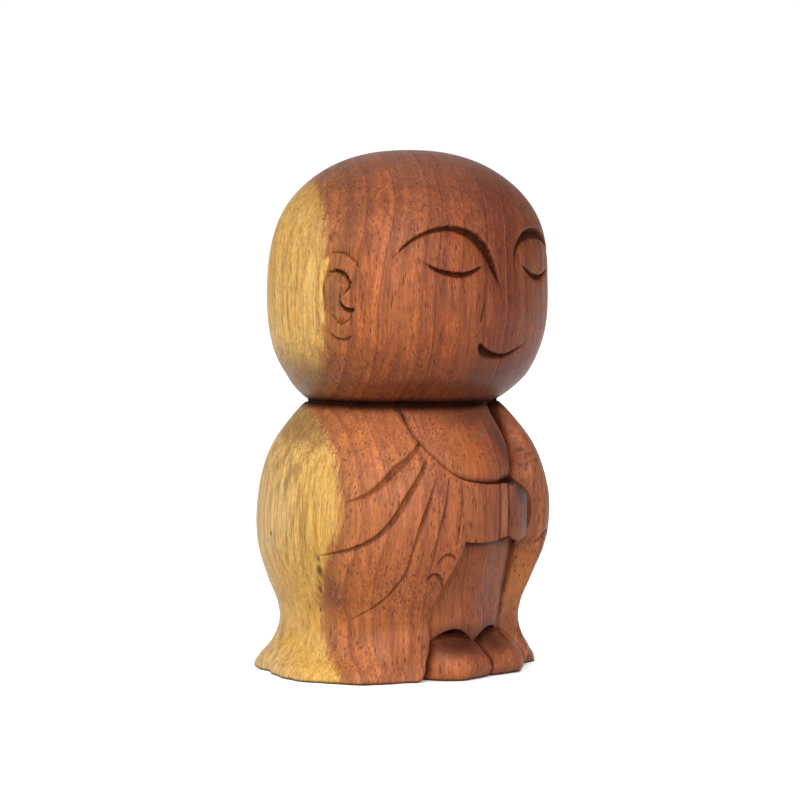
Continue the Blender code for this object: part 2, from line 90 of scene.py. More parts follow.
# V-cuts: name, depth, painted shade in the groove, share of the width above, (gentle share, its reach), path
# with (angle, height, width). "Above" is to the left of the way the path runs, seen from
# outside with up as up.
CUTS = [
    ("fold_1", 1.20, 0.46, 0.62, (0.45, 4.2), [(-37.8, 67.8, 1.1), (-43.4, 63.5, 2.2), (-48.5, 60.8, 2.7),
                                               (-54.0, 56.8, 2.3), (-60.0, 53.5, 1.5), (-68.0, 51.3, 0.5)]),
    ("fold_2", 1.15, 0.48, 0.60, (0.40, 3.6), [(-36.0, 62.7, 1.0), (-40.0, 57.5, 1.9), (-45.0, 52.0, 2.2),
                                               (-50.0, 46.0, 1.9), (-57.0, 41.0, 1.7), (-66.0, 38.0, 1.4),
                                               (-73.0, 36.8, 1.0), (-79.5, 35.8, 0.5)]),
    ("fold_3", 0.90, 0.42, 0.60, (0.35, 3.0), [(-32.5, 57.8, 0.6), (-35.3, 52.0, 1.3), (-38.0, 46.5, 1.6),
                                               (-41.5, 38.0, 1.1), (-44.0, 31.5, 0.9), (-50.0, 25.5, 0.9),
                                               (-57.0, 21.5, 0.7), (-67.5, 17.8, 0.5)]),
    ("fold_4", 0.80, 0.38, 0.60, (0.35, 2.4), [(-27.0, 57.6, 0.7), (-28.5, 51.5, 1.1), (-31.0, 44.5, 1.0),
                                               (-33.0, 36.5, 0.7), (-34.0, 31.0, 0.3)]),
    ("cuff_seam", 0.90, 0.28, 0.5, (0.35, 2.4), [(-21.2, 56.8, 0.5), (-21.6, 51.5, 0.9),
                                                 (-22.5, 46.0, 0.9), (-23.5, 39.2, 1.0)]),
    ("nick", 1.00, 0.42, 0.5, (0.35, 2.4), [(31.6, 36.4, 0.4), (32.2, 38.4, 1.0), (34.0, 39.4, 1.3),
                                             (38.5, 39.8, 1.4), (44.0, 39.5, 0.3)]),
    ("left_fold_1", 1.05, 0.32, 0.5, (0.40, 3.6), [(62.0, 60.0, 0.4), (68.0, 56.0, 1.6),
                                                   (77.0, 52.0, 1.9), (88.0, 50.0, 0.3)]),
    ("left_fold_2", 0.95, 0.32, 0.5, (0.40, 3.4), [(60.0, 44.5, 0.4), (67.0, 40.0, 1.3),
                                                   (79.0, 37.0, 1.5), (92.0, 35.0, 0.3)]),
    ("hand_seam_right", 0.55, 0.46, 0.5, (0.40, 2.2), [(-1.3, 56.0, 1.0), (-1.2, 47.0, 1.3),
                                                       (-1.5, 39.0, 1.1)]),
    ("hand_seam_left", 0.60, 0.52, 0.5, (0.40, 2.2), [(4.4, 56.0, 0.9), (4.6, 47.0, 1.2),
                                                      (4.4, 39.0, 1.1)]),
    ("curl_1", 0.60, 0.56, 0.35, (0.35, 2.4), [(-30.9, 33.2, 0.4), (-30.5, 35.0, 1.0), (-27.6, 36.5, 1.3),
                                               (-24.6, 35.9, 1.1), (-23.8, 34.3, 0.4)]),
    ("curl_2", 0.65, 0.58, 0.35, (0.35, 2.4), [(-35.0, 28.6, 0.4), (-34.2, 30.2, 1.1), (-31.4, 31.0, 1.4),
                                               (-28.4, 29.0, 1.4), (-27.0, 25.6, 0.5)]),
    ("brow_right", 1.75, 0.92, 0.20, (0.50, 7.5), [(-51.3, 119.0, 0.3), (-48.0, 121.7, 0.9),
                                                   (-44.0, 124.0, 1.2), (-39.0, 125.9, 1.5),
                                                   (-33.5, 127.1, 1.8), (-27.5, 127.5, 2.1),
                                                   (-21.5, 126.9, 2.8), (-15.8, 125.3, 3.4),
                                                   (-11.0, 122.4, 3.7), (-8.2, 119.0, 3.2),
                                                   (-6.5, 115.3, 2.1), (-4.6, 110.8, 0.3)]),
    ("brow_left", 1.75, 0.92, 0.20, (0.50, 7.5), [(5.6, 113.0, 0.3), (4.8, 118.0, 0.9), (7.0, 122.0, 1.6),
                                                  (12.0, 124.9, 2.9), (19.5, 126.7, 4.0),
                                                  (28.5, 126.8, 4.0), (36.0, 125.2, 2.6),
                                                  (43.0, 122.6, 1.4), (48.5, 119.5, 0.3)]),
    ("lash_right", 1.30, 1.00, 0.20, (0.30, 3.4), [(-39.6, 117.9, 0.3), (-35.3, 116.2, 1.2),
                                                   (-30.9, 115.2, 1.8), (-25.8, 114.6, 2.1),
                                                   (-20.8, 114.8, 1.8), (-16.5, 115.8, 1.2),
                                                   (-12.3, 117.2, 0.3)]),
    ("lash_left", 1.30, 1.00, 0.20, (0.30, 3.4), [(9.8, 117.1, 0.3), (15.0, 115.3, 1.5),
                                                  (21.4, 114.0, 2.3), (27.5, 114.1, 1.9),
                                                  (33.0, 115.4, 1.1), (37.8, 117.3, 0.3)]),
    ("nose_cut", 0.50, 0.45, 0.6, (0.45, 3.0), [(-11.8, 108.0, 0.3), (-12.8, 105.2, 0.8),
                                                (-14.4, 101.3, 0.9)]),
    ("mouth", 1.50, 0.95, 0.20, (0.25, 3.0), [(-13.3, 94.9, 1.4), (-11.4, 93.7, 2.9), (-8.4, 92.7, 3.1),
                                              (-4.0, 91.9, 2.3), (1.5, 91.7, 1.5), (6.5, 92.4, 1.1),
                                              (11.0, 93.6, 0.8), (15.2, 95.0, 0.3)]),
]
# the same on both ears; angles are those of the right ear
EAR_CUTS = [
    ("ear_top", 0.75, 0.44, 0.72, (0.40, 3.4), [(-79.5, 119.9, 0.3), (-76.0, 120.3, 0.8),
                                                (-72.5, 120.0, 1.0), (-69.8, 119.2, 1.1),
                                                (-67.0, 117.6, 1.1), (-65.0, 115.6, 0.3)]),
    ("ear_bottom", 0.85, 0.50, 0.32, (0.40, 2.8), [(-79.6, 99.0, 0.3), (-77.6, 97.5, 0.8),
                                                   (-75.0, 96.5, 1.3), (-71.7, 96.2, 1.2),
                                                   (-68.2, 97.3, 0.3)]),
    ("ear_shell", 1.75, 0.85, 0.12, (0.62, 5.6), [(-79.6, 114.6, 0.3), (-78.2, 115.3, 0.8),
                                                  (-75.8, 115.7, 1.3), (-73.0, 115.3, 1.7),
                                                  (-70.3, 114.1, 1.7), (-68.7, 112.2, 1.6),
                                                  (-69.1, 110.4, 1.2), (-71.0, 108.9, 0.7),
                                                  (-73.4, 107.4, 0.3)]),
    ("ear_notch", 1.45, 0.95, 0.20, (0.40, 3.6), [(-73.4, 107.4, 0.3), (-72.4, 106.0, 1.0),
                                                  (-70.6, 105.0, 1.6), (-68.6, 104.7, 1.7),
                                                  (-66.7, 105.0, 0.3)]),
    ("ear_lobe", 0.65, 0.36, 0.70, (0.50, 3.2), [(-77.8, 104.6, 0.3), (-76.6, 102.6, 0.5),
                                                 (-74.8, 101.0, 0.8), (-73.0, 100.4, 1.0),
                                                 (-70.3, 101.1, 0.9), (-68.5, 102.6, 0.8),
                                                 (-67.4, 104.6, 0.3)]),
    ("ear_rim", 0.45, 0.22, 0.30, (0.60, 2.8), [(-78.4, 115.2, 0.3), (-80.5, 112.7, 0.7),
                                                (-80.9, 109.9, 0.9), (-80.0, 107.4, 0.6),
                                                (-79.0, 105.6, 0.3)]),
]
# low rounded ridges: height, half width, path (angle, height, share)
RIDGES = [(0.75, 2.4, [(-76.0, 118.6, 0.5), (-80.0, 117.4, 0.9), (-82.2, 114.0, 1.0),
                       (-83.0, 109.9, 1.0), (-82.6, 105.7, 0.9), (-80.8, 100.6, 0.6)])]

# ============================================================================ small maths


def lerp(table, z, column=1):
    return np.interp(z, [r[0] for r in table], [r[column] for r in table])


def smooth(table, z, column=1):
    xs = np.array([r[0] for r in table], float)
    ys = np.array([r[column] for r in table], float)
    h = np.diff(xs)
    d = np.diff(ys) / h
    m = np.empty_like(ys)
    m[0], m[-1] = d[0], d[-1]
    m[1:-1] = (d[:-1] * h[1:] + d[1:] * h[:-1]) / (h[1:] + h[:-1])
    z = np.clip(z, xs[0], xs[-1])
    i = np.clip(np.searchsorted(xs, z) - 1, 0, len(h) - 1)
    t = (z - xs[i]) / h[i]
    return ((2 * t**3 - 3 * t**2 + 1) * ys[i] + (t**3 - 2 * t**2 + t) * h[i] * m[i]
            + (-2 * t**3 + 3 * t**2) * ys[i + 1] + (t**3 - t**2) * h[i] * m[i + 1])


def ease(low, high, v):
    t = np.clip((v - low) / (high - low), 0.0, 1.0)
    return t * t * (3 - 2 * t)


def smax(a, b, r):
    """Larger of the two with the crossing rounded over r."""
    h = np.clip(0.5 + 0.5 * (a - b) / r, 0.0, 1.0)
    return b + (a - b) * h + r * h * (1 - h) * 0.5


def smin(a, b, r):
    return -smax(-a, -b, r)


def hash3(i, j, k, seed):
    n = (i * 73856093) ^ (j * 19349663) ^ (k * 83492791) ^ (seed * 2654435)
    n = n & 0x7FFFFFFF
    n = (n ^ (n >> 13)) * 1274126177 & 0x7FFFFFFF
    n = n ^ (n >> 16)
    return (n & 0xFFFF) / 65535.0


def noise3(p, seed=0):
    """Value noise, 0 to 1, one feature a unit."""
    q = np.floor(p).astype(np.int64)
    f = p - q
    f = f * f * (3 - 2 * f)
    out = 0.0
    for a in (0, 1):
        for b in (0, 1):
            for c in (0, 1):
                w = ((f[:, 0] if a else 1 - f[:, 0]) * (f[:, 1] if b else 1 - f[:, 1])
                     * (f[:, 2] if c else 1 - f[:, 2]))
                out = out + w * hash3(q[:, 0] + a, q[:, 1] + b, q[:, 2] + c, seed)
    return out


def catmull(points, step):
    """Smooth path through rows of numbers, a sample about every `step` in the last spans."""
    pts = np.array(points, float)
    rows = []
    for i in range(len(pts) - 1):
        p0, p1, p2, p3 = (pts[max(i - 1, 0)], pts[i], pts[i + 1], pts[min(i + 2, len(pts) - 1)])
        span = np.hypot((p2[0] - p1[0]) * 0.7, p2[1] - p1[1])
        n = max(int(span / step), 2)
        t = (np.arange(n) / n)[:, None]
        rows.append(0.5 * (2 * p1 + (p2 - p0) * t + (2 * p0 - 5 * p1 + 4 * p2 - p3) * t**2
                           + (3 * p1 - p0 - 3 * p2 + p3) * t**3))
    rows.append(pts[-1:])
    return np.concatenate(rows)


def polygon(px, pz, corners):
    """Signed distance to a closed outline, negative inside."""
    c = np.array(corners, float)
    best = np.full(px.shape, 1e9)
    inside = np.zeros(px.shape, bool)
    for (ax, az), (bx, bz) in zip(c, np.roll(c, -1, axis=0)):
        ex, ez = bx - ax, bz - az
        wx, wz = px - ax, pz - az
        t = np.clip((wx * ex + wz * ez) / (ex * ex + ez * ez), 0, 1)
        best = np.minimum(best, (wx - ex * t)**2 + (wz - ez * t)**2)
        cross = (az > pz) != (bz > pz)
        with np.errstate(divide="ignore", invalid="ignore"):
            hit = cross & (px < ex * (pz - az) / (ez if ez else 1e-9) + ax)
        inside ^= hit
    return np.where(inside, -1.0, 1.0) * np.sqrt(best)


def rounded_outline(points, closed_bottom):
    """The outline's open run is smoothed; its two ends stay where they are."""
    pts = np.array(points, float)
    return catmull(np.column_stack([pts, np.zeros(len(pts))]), 0.6)[:, :2]


LAPEL_LINE = rounded_outline(LAPEL, False)
HEM_LINE = np.concatenate([rounded_outline(HEM[:9], True)[:-1], rounded_outline(HEM[8:], True)])

# =============================================================================== the wood


def plan_gauge(x, f, size):
    """Section gauge: 1 on the edge, less inside and more outside."""
    g = ((np.abs(x) / (WIDE * size))**PLAN_EXP + (np.abs(f) / (DEEP * size))**PLAN_EXP)**(1 / PLAN_EXP)
    return g


def cloak_field(x, y, z):
    f = -y - lerp(LEAN, z)
    size = smooth(BODY, np.clip(z, 0.0, 79.0))
    angle = np.degrees(np.arctan2(x, f))
    trim = ease(-62.0, -38.0, angle) * (angle < 20) * (1 - ease(2.0, 13.0, z))
    trim = trim * (1 - ease(-8.0, 14.0, angle))
    trim_left = (1 - ease(44.0, 53.0, angle)) * (angle > 20) * (1 - ease(0.5, 6.0, z))
    spread_out = (2.5 * np.exp(-((angle + 88.0) / 13.0)**2) + 0.9 * np.exp(-((angle + 134.0) / 10.0)**2)
                  + 0.5 * np.exp(-((angle + 71.0) / 9.0)**2)
                  ) * (1 - ease(0.5, 6.0, z))
    # the sawn lower edge is a little uneven and its corner is broken here and there
    wobble = 0.20 * np.sin(angle * 0.21 + 1.0) + 0.14 * np.sin(angle * 0.53 + 2.0)
    rim = (1 - ease(0.0, 1.1, z)) * (0.12 + 0.38 * np.clip(np.sin(angle * 0.33) + 0.6 * np.sin(angle * 0.9 + 1.3), 0, 2))
    scallop = 1.6 * np.exp(-((angle + 115.0) / 5.5)**2) * (1 - ease(0.0, 5.5, z))
    size = size * (1 - CORNER_TRIM * trim - 0.10 * trim_left) + wobble * (1 - ease(4.0, 12.0, z))
    size = size + spread_out - rim - scallop
    size = size + 0.75 * np.exp(-((angle - 46.0) / 20.0)**2) * (1 - np.exp(-((z - 26.0) / 9.0)**2))
    return (plan_gauge(x, f, size) - 1) * size


def chest_field(x, y, z):
    zc = np.clip(z, CHEST[0][0], CHEST[-1][0])
    centre, wide, deep = (smooth(CHEST, zc, c) for c in (1, 2, 3))
    wide = wide + 2.2 * (x < CHEST_X)
    g = np.sqrt(((x - CHEST_X) / wide)**2 + ((-y - centre) / deep)**2)
    return (g - 1) * deep


def robe_cut(x, y, z):
    zc = np.clip(z, ROBE[0][0], ROBE[-1][0])
    right, left, front = (smooth(ROBE, zc, c) for c in (1, 2, 3))
    # the robe hangs in three soft vertical folds
    fold = 0.30 * np.cos((x + 1.5) / 13.0 * math.pi * 1.5) * ease(10.0, 20.0, z) * (1 - ease(6.0, 11.0, x))
    away = np.where(x < 0, ROBE_CROWN, np.interp(z, [0.0, 12.0, 21.0, 31.0, 38.0], [3.1, 3.2, 2.1, 2.3, 2.6]))
    depth = front - away * (x / 13.0)**2 + fold - 0.35 * ease(34.0, 39.7, z)
    top = ROBE_TOP - 0.55 * np.cos(np.clip((x + 7.6) / 6.4, -1, 1) * math.pi / 2) - 1.1 * np.cos(
        np.clip((x - 7.6) / 3.8, -1, 1) * math.pi / 2) * (x > 3.8) + 0.5 * np.exp(-((x - 1.6) / 1.6)**2)
    cut = smax(right - x, x - left, 0.3)
    cut = smax(cut, depth + y, 0.5)
    return smax(cut, (z - top) * 0.9 + 0.12 * (-y - 40.5), 0.35)


def left_cut(x, y, z):
    zc = np.clip(z, LEFT_CUT[0][0], LEFT_CUT[-1][0])
    inner, forward, ridge = (lerp(LEFT_CUT, zc, c) for c in (1, 2, 3))
    size = smooth(BODY, np.clip(z, 0.0, 79.0))
    ra = np.radians(ridge)
    r = 1 / ((np.sin(ra) / (WIDE * size))**PLAN_EXP + (np.cos(ra) / (DEEP * size))**PLAN_EXP)**(1 / PLAN_EXP)
    ox, of = r * np.sin(ra), r * np.cos(ra) + lerp(LEAN, z)
    slope = (of - forward) / (ox - inner)
    hollow = 0.5 * np.sin(np.clip((x - inner) / (ox - inner), 0, 1) * math.pi)
    plane = (forward + slope * (x - inner) - hollow + y) / np.sqrt(1 + slope**2)
    cut = smax(plane, inner - x, 0.5)
    # it leaves the chest standing
    return smax(cut, -smax(chest_field(x, y, z), 53.0 - z, 0.5), 0.5)


def foot_field(x, y, z, foot):
    centre, half, outer, toe, rise, crown = foot
    u, v = (x - centre) * outer, -y
    # a domed wedge with blunt toes, its outer corner well rounded, its inner one crisp
    inward = half - 0.5 * (1 - ease(-0.5, 2.0, z)) - 0.04 * np.clip(v - 24.0, 0, 20)**2 * (u > 0)
    side = np.abs(u) - inward
    blunt = v - lerp(FOOT_FRONT, z) + 0.012 * u * u + (0.085 + 0.05 * (1 - ease(0.0, 4.0, z)) * (outer > 0)) * np.clip(u - 2.0, 0, 20)**2
    top = (z - toe - rise * (36.0 - v) + crown * (u / half)**2 * (1 + 1.3 * (u > 0))) / math.hypot(1.0, rise)
    d = smax(side, blunt, np.where(u > 0, 6.0, 1.2))
    d = smax(d, top, 4.2)
    d = smax(d, (z - 12.4) * 0.8, 1.6)
    return smax(d, FOOT_BACK - v, 1.0)


def head_field(x, y, z):
    x = x - HEAD_SET
    f = -y - lerp(LEAN, z) - HEAD_SET
    tall = np.abs(z - HEAD_Z) / np.where(z > HEAD_Z, HEAD_UP, HEAD_DOWN)
    power = HEAD_EXP - 0.17 * ease(0.5, 0.97, tall) * (z > HEAD_Z)
    beside = np.exp(-((np.degrees(np.arctan2(x, f)) - 44.0) / 30.0)**2)
    size = HEAD_SIZE * (1 + beside * (0.020 * ease(112.0, 130.0, z) - 0.016 * (1 - ease(84.0, 102.0, z))))
    q = plan_gauge(x, f, size)**power + tall**power
    d = (q**(1 / power) - 1) * 38.0
    # low straight nose
    wide = np.interp(z, [98.0, 102.0, 108.0, 118.0], [8.6, 8.6, 7.4, 4.0])
    flank = np.where(x < 0, 1 - ease(-2.0, 1.2, -x - wide), 1 - ease(-6.0, 2.5, x - wide))
    nose = 0.72 * flank * ease(97.8, 102.4, z) * (1 - ease(103.0, 119.0, z)) * (f > 0)
    return d - nose


def wood(p):
    """Signed field of the whole figure, negative in the wood."""
    x, y, z = p[:, 0], p[:, 1], p[:, 2]
    d = cloak_field(x, y, z)
    front = np.where((y < -12.0) & (z < 84.0) & (d < 6.0))[0]
    xf, yf, zf = x[front], y[front], z[front]
    b = d[front]
    # flattened front of the joined sleeves
    b = smax(b, -yf - (40.8 - 0.004 * (xf + 1.0)**2), 1.5)
    # their left end rolls away to the side
    roll = np.clip((xf - 5.5) / 9.5, 0, 1.1)**1.8
    inner = lerp(LEFT_CUT, np.clip(zf, -1.0, 82.0), 1)
    over = xf - 4.4
    above = np.maximum(zf - 54.6 + 0.13 * over + 0.032 * over * over, 0) * ease(3.4, 6.0, xf)
    below = np.maximum(39.7 + 0.055 * np.maximum(xf - 8.5, 0)**2 - zf, 0) * ease(6.0, 9.0, xf)
    rolled = smax(40.8 - 0.004 * (xf + 1.0)**2 - 3.7 * roll - 1.3 * above - 1.2 * below + yf,
                  xf - inner - 0.5, 1.0)
    rolled = smax(rolled, np.abs(zf - 47.6) - 9.6, 0.6)
    b = smax(b, -rolled, 1.6)
    # the strip between the sleeve ends lies a little lower
    strip = np.exp(-((xf - 1.6) / 2.6)**4) * ease(38.0, 41.0, zf) * (1 - ease(54.0, 56.5, zf))
    b = b + 0.45 * strip * (yf < -36.0)
    cut = smax(polygon(xf, zf, LAPEL_LINE), 17.0 + yf, 0.4)
    cut = smax(cut, -chest_field(xf, yf, zf), 0.3)
    b = smax(b, -cut, 0.35)
    b = smax(b, -left_cut(xf, yf, zf), 1.6 + 1.8 * ease(38.0, 44.0, zf))
    b = smax(b, -robe_cut(xf, yf, zf), 0.35)
    hollow = smax(polygon(xf, zf, HEM_LINE), HEM_BACK + yf, 0.4)
    b = smax(b, -hollow, 0.35)
    for foot in FEET:
        b = smin(b, foot_field(xf, yf, zf, foot), 0.25)
    d = d.copy()
    d[front] = b
    d = smax(d, z - BODY_TOP, 0.2)
    d = smin(d, head_field(x, y, z), 0.35)
    return smax(d, -z, 0.35)


def gradient(p, e=0.06):
    g = np.empty_like(p)
    for a in range(3):
        q = p.copy()
        q[:, a] += e
        up = wood(q)
        q[:, a] -= 2 * e
        g[:, a] = (up - wood(q)) / (2 * e)
    return g


def onto_surface(p, rounds=3):
    for _ in range(rounds):
        g = gradient(p)
        n2 = np.maximum((g * g).sum(1), 1e-4)
        step = (wood(p) / n2)[:, None] * g
        size = np.linalg.norm(step, axis=1, keepdims=True)
        p = p - step * np.minimum(1.0, 0.9 / np.maximum(size, 1e-9))
    return p


def unit(v):
    return v / np.maximum(np.linalg.norm(v, axis=-1, keepdims=True), 1e-9)


# ========================================================================== mesh, in numpy


def surface_net(low, high, h):
    n = [int(round((b - a) / h)) + 1 for a, b in zip(low, high)]
    axes = [low[i] + h * np.arange(n[i]) for i in range(3)]
    value = np.empty(n)
    for i in range(n[0]):
        grid = np.stack(np.meshgrid([axes[0][i]], axes[1], axes[2], indexing="ij"), -1).reshape(-1, 3)
        value[i] = wood(grid).reshape(n[1], n[2])
    value[value == 0] = 1e-6
    corner = [(a, b, c) for a in (0, 1) for b in (0, 1) for c in (0, 1)]
    cut = [slice(0, m - 1) for m in n]
    low_in = np.zeros([m - 1 for m in n], int)
    for a, b, c in corner:
        low_in += value[a:n[0] - 1 + a, b:n[1] - 1 + b, c:n[2] - 1 + c] < 0
    cells = np.argwhere((low_in > 0) & (low_in < 8))
    number = np.full([m - 1 for m in n], -1, int)
    number[tuple(cells.T)] = np.arange(len(cells))
    vals = np.stack([value[cells[:, 0] + a, cells[:, 1] + b, cells[:, 2] + c] for a, b, c in corner], 1)
    total, count = np.zeros((len(cells), 3)), np.zeros(len(cells))
    for i, ci in enumerate(corner):
        for j, cj in enumerate(corner):
            if j > i and sum(abs(u - v) for u, v in zip(ci, cj)) == 1:
                mixed = (vals[:, i] < 0) != (vals[:, j] < 0)
                t = np.where(mixed, vals[:, i] / np.where(mixed, vals[:, i] - vals[:, j], 1), 0)
                at = np.array(ci) + t[:, None] * (np.array(cj) - np.array(ci))
                total += at * mixed[:, None]
                count += mixed
    verts = np.array(low) + h * (cells + total / count[:, None])
    quads = []
    for axis in range(3):
        u, v = [a for a in range(3) if a != axis]
        first = [slice(1, m - 1) for m in n]
        first[axis] = slice(0, n[axis] - 1)
        second = list(first)
        second[axis] = slice(1, n[axis])
        a, b = value[tuple(first)] < 0, value[tuple(second)] < 0
        for sign in (True, False):
            where = np.argwhere((a != b) & (a == sign))
            base = where.copy()
            base[:, u] += 1
            base[:, v] += 1
            ring = []
            for du, dv in ((1, 1), (0, 1), (0, 0), (1, 0)):
                q = base.copy()
                q[:, u] -= du
                q[:, v] -= dv
                ring.append(number[tuple(q.T)])
            ring = np.stack(ring, 1)
            flip = sign != (axis == 1)
            quads.append(ring if flip else ring[:, ::-1])
    quads = np.concatenate(quads)
    d1 = np.linalg.norm(verts[quads[:, 0]] - verts[quads[:, 2]], axis=1)
    d2 = np.linalg.norm(verts[quads[:, 1]] - verts[quads[:, 3]], axis=1)
    pick = (d1 <= d2)[:, None]
    t1 = np.where(pick, quads[:, [0, 1, 2]], quads[:, [0, 1, 3]])
    t2 = np.where(pick, quads[:, [0, 2, 3]], quads[:, [1, 2, 3]])
    return verts, np.concatenate([t1, t2])


def edges_of(tris):
    e = np.concatenate([tris[:, [0, 1]], tris[:, [1, 2]], tris[:, [2, 0]]])
    e.sort(axis=1)
    key = e[:, 0].astype(np.int64) * (1 << 32) + e[:, 1]
    uniq, inverse = np.unique(key, return_inverse=True)
    pairs = np.stack([uniq >> 32, uniq & 0xFFFFFFFF], 1).astype(int)
    return pairs, inverse.reshape(3, -1).T


def split_marked(verts, tris, pairs, of_tri, mark):
    """Halve every marked edge; each triangle is recut to fit."""
    new_at = np.full(len(pairs), -1, int)
    new_at[mark] = len(verts) + np.arange(mark.sum())
    fresh = (verts[pairs[mark, 0]] + verts[pairs[mark, 1]]) / 2
    m = mark[of_tri]
    count = m.sum(1)
    out = [tris[count == 0]]
    for k in (1, 2, 3):
        rows = np.where(count == k)[0]
        if not len(rows):
            continue
        t, w, mm = tris[rows], new_at[of_tri[rows]], m[rows]
        if k == 3:
            a, b, c = t.T
            p, q, r = w.T
            out += [np.stack(s, 1) for s in ((a, p, r), (p, b, q), (r, q, c), (p, q, r))]
            continue
        turn = np.argmax(mm, 1) if k == 1 else (np.argmin(mm, 1) + 1) % 3
        idx = (turn[:, None] + np.arange(3)) % 3
        t = np.take_along_axis(t, idx, 1)
        w = np.take_along_axis(w, idx, 1)
        a, b, c = t.T
        p, q = w[:, 0], w[:, 1]
        if k == 1:
            out += [np.stack((a, p, c), 1), np.stack((p, b, c), 1)]
        else:
            allv = np.concatenate([verts, fresh])
            short = np.linalg.norm(allv[a] - allv[q], axis=1) < np.linalg.norm(allv[p] - allv[c], axis=1)
            out.append(np.stack((p, b, q), 1))
            out.append(np.where(short[:, None], np.stack((a, p, q), 1), np.stack((a, p, c), 1)))
            out.append(np.where(short[:, None], np.stack((a, q, c), 1), np.stack((p, q, c), 1)))
    return np.concatenate([verts, fresh]), np.concatenate(out)


# ================================================================================== cuts


def skin(angle, z):
    """Points of the uncut figure at (angle, height), by walking in along the ray."""
    a = np.radians(angle)
    lean = lerp(LEAN, z)
    outward = np.stack([np.sin(a), -np.cos(a), 0 * a], 1)
    base = np.stack([0 * a, -lean, z], 1)
    r = np.full(len(a), 46.0)
    for _ in range(14):
        d = wood(base + outward * r[:, None])
        r = r - np.clip(d, -2.0, 4.0) * 0.9
    return base + outward * r[:, None]


class Cut:
    def __init__(self, name, depth, shade, above, gentle, path, side=1):
        s = catmull(path, 0.22)
        self.name = name
        self.shade = shade
        self.points = skin(side * s[:, 0], s[:, 1])
        self.width = np.maximum(s[:, 2], 0.12)
        widest = self.width.max()
        self.depth = depth * np.clip(self.width / widest, 0.08, 1.0)**0.8
        self.gentle_share, self.reach = gentle
        self.along = unit(np.gradient(self.points, axis=0))
        self.normal = unit(gradient(self.points, 0.5))
        self.side = unit(np.cross(self.normal, self.along))
        self.above = above if side == 1 else 1 - above
        self.flip = side
        self.low = self.points.min(0) - self.reach - 1.5
        self.high = self.points.max(0) + self.reach + 1.5

    def near(self, p):
        return np.where(((p > self.low) & (p < self.high)).all(1))[0]

    def locate(self, p):
        """Nearest sample, signed offset across the path and distance past its ends."""
        index = np.empty(len(p), int)
        for i in range(0, len(p), 4000):
            d = ((p[i:i + 4000, None] - self.points[None])**2).sum(-1)
            index[i:i + 4000] = d.argmin(1)
        rel = p - self.points[index]
        off = (rel * self.side[index]).sum(1)
        past = (rel * self.along[index]).sum(1)
        ends = (index == 0) | (index == len(self.points) - 1)
        return index, off, np.where(ends, np.abs(past), 0.0)

    def profile(self, p):
        index, off, past = self.locate(p)
        w, d = self.width[index], self.depth[index]
        above = np.maximum(w * self.above, 0.05)
        below = np.maximum(w * (1 - self.above), 0.05)
        steep = np.where(off > 0, np.clip(1 - off / above, 0, 1), np.clip(1 + off / below, 0, 1))
        # a round-nosed V
        steep = 1 - (1 - steep)**1.35
        wide_side = off < 0 if self.above < 0.5 else off > 0
        if abs(self.above - 0.5) < 0.01:
            wide_side = np.ones(len(off), bool)
        soft = np.where(wide_side, np.clip(1 - np.abs(off) / (self.reach * (0.25 + 0.75 * w / self.width.max())), 0, 1), 0.0)
        soft = soft * soft * (3 - 2 * soft)
        narrow = np.where(wide_side, soft, steep)
        fade = np.clip(1 - past / 0.35, 0, 1)
        total = d * ((1 - self.gentle_share) * steep + self.gentle_share * narrow) * fade
        # painted shade in the groove: darkest on the steep walls, fading over the gentle side
        groove_painted_shade = np.clip(steep * 1.9, 0, 1)
        groove_painted_shade = self.shade * fade * (0.75 * groove_painted_shade * groove_painted_shade * (3 - 2 * groove_painted_shade) + 0.25 * narrow) * np.clip(w / 0.8, 0.25, 1)
        return total, groove_painted_shade, off, index


def all_cuts():
    cuts = [Cut(*c) for c in CUTS]
    for name, *rest in EAR_CUTS:
        cuts.append(Cut(name, *rest))
        cuts.append(Cut(name + "_left", *rest, side=-1))
    return cuts


def ridge_lift(p, height, half, path, side):
    s = catmull(path, 0.5)
    pts = skin(side * s[:, 0], s[:, 1])
    low, high = pts.min(0) - half * 2, pts.max(0) + half * 2
    rows = np.where(((p > low) & (p < high)).all(1))[0]
    out = np.zeros(len(p))
    if len(rows):
        d = np.sqrt(((p[rows, None] - pts[None])**2).sum(-1))
        i = d.argmin(1)
        t = np.clip(1 - d[np.arange(len(rows)), i] / half, 0, 1)
        out[rows] = height * s[i, 2] * t * t * (3 - 2 * t)
    return out


# ============================================================================ build mesh


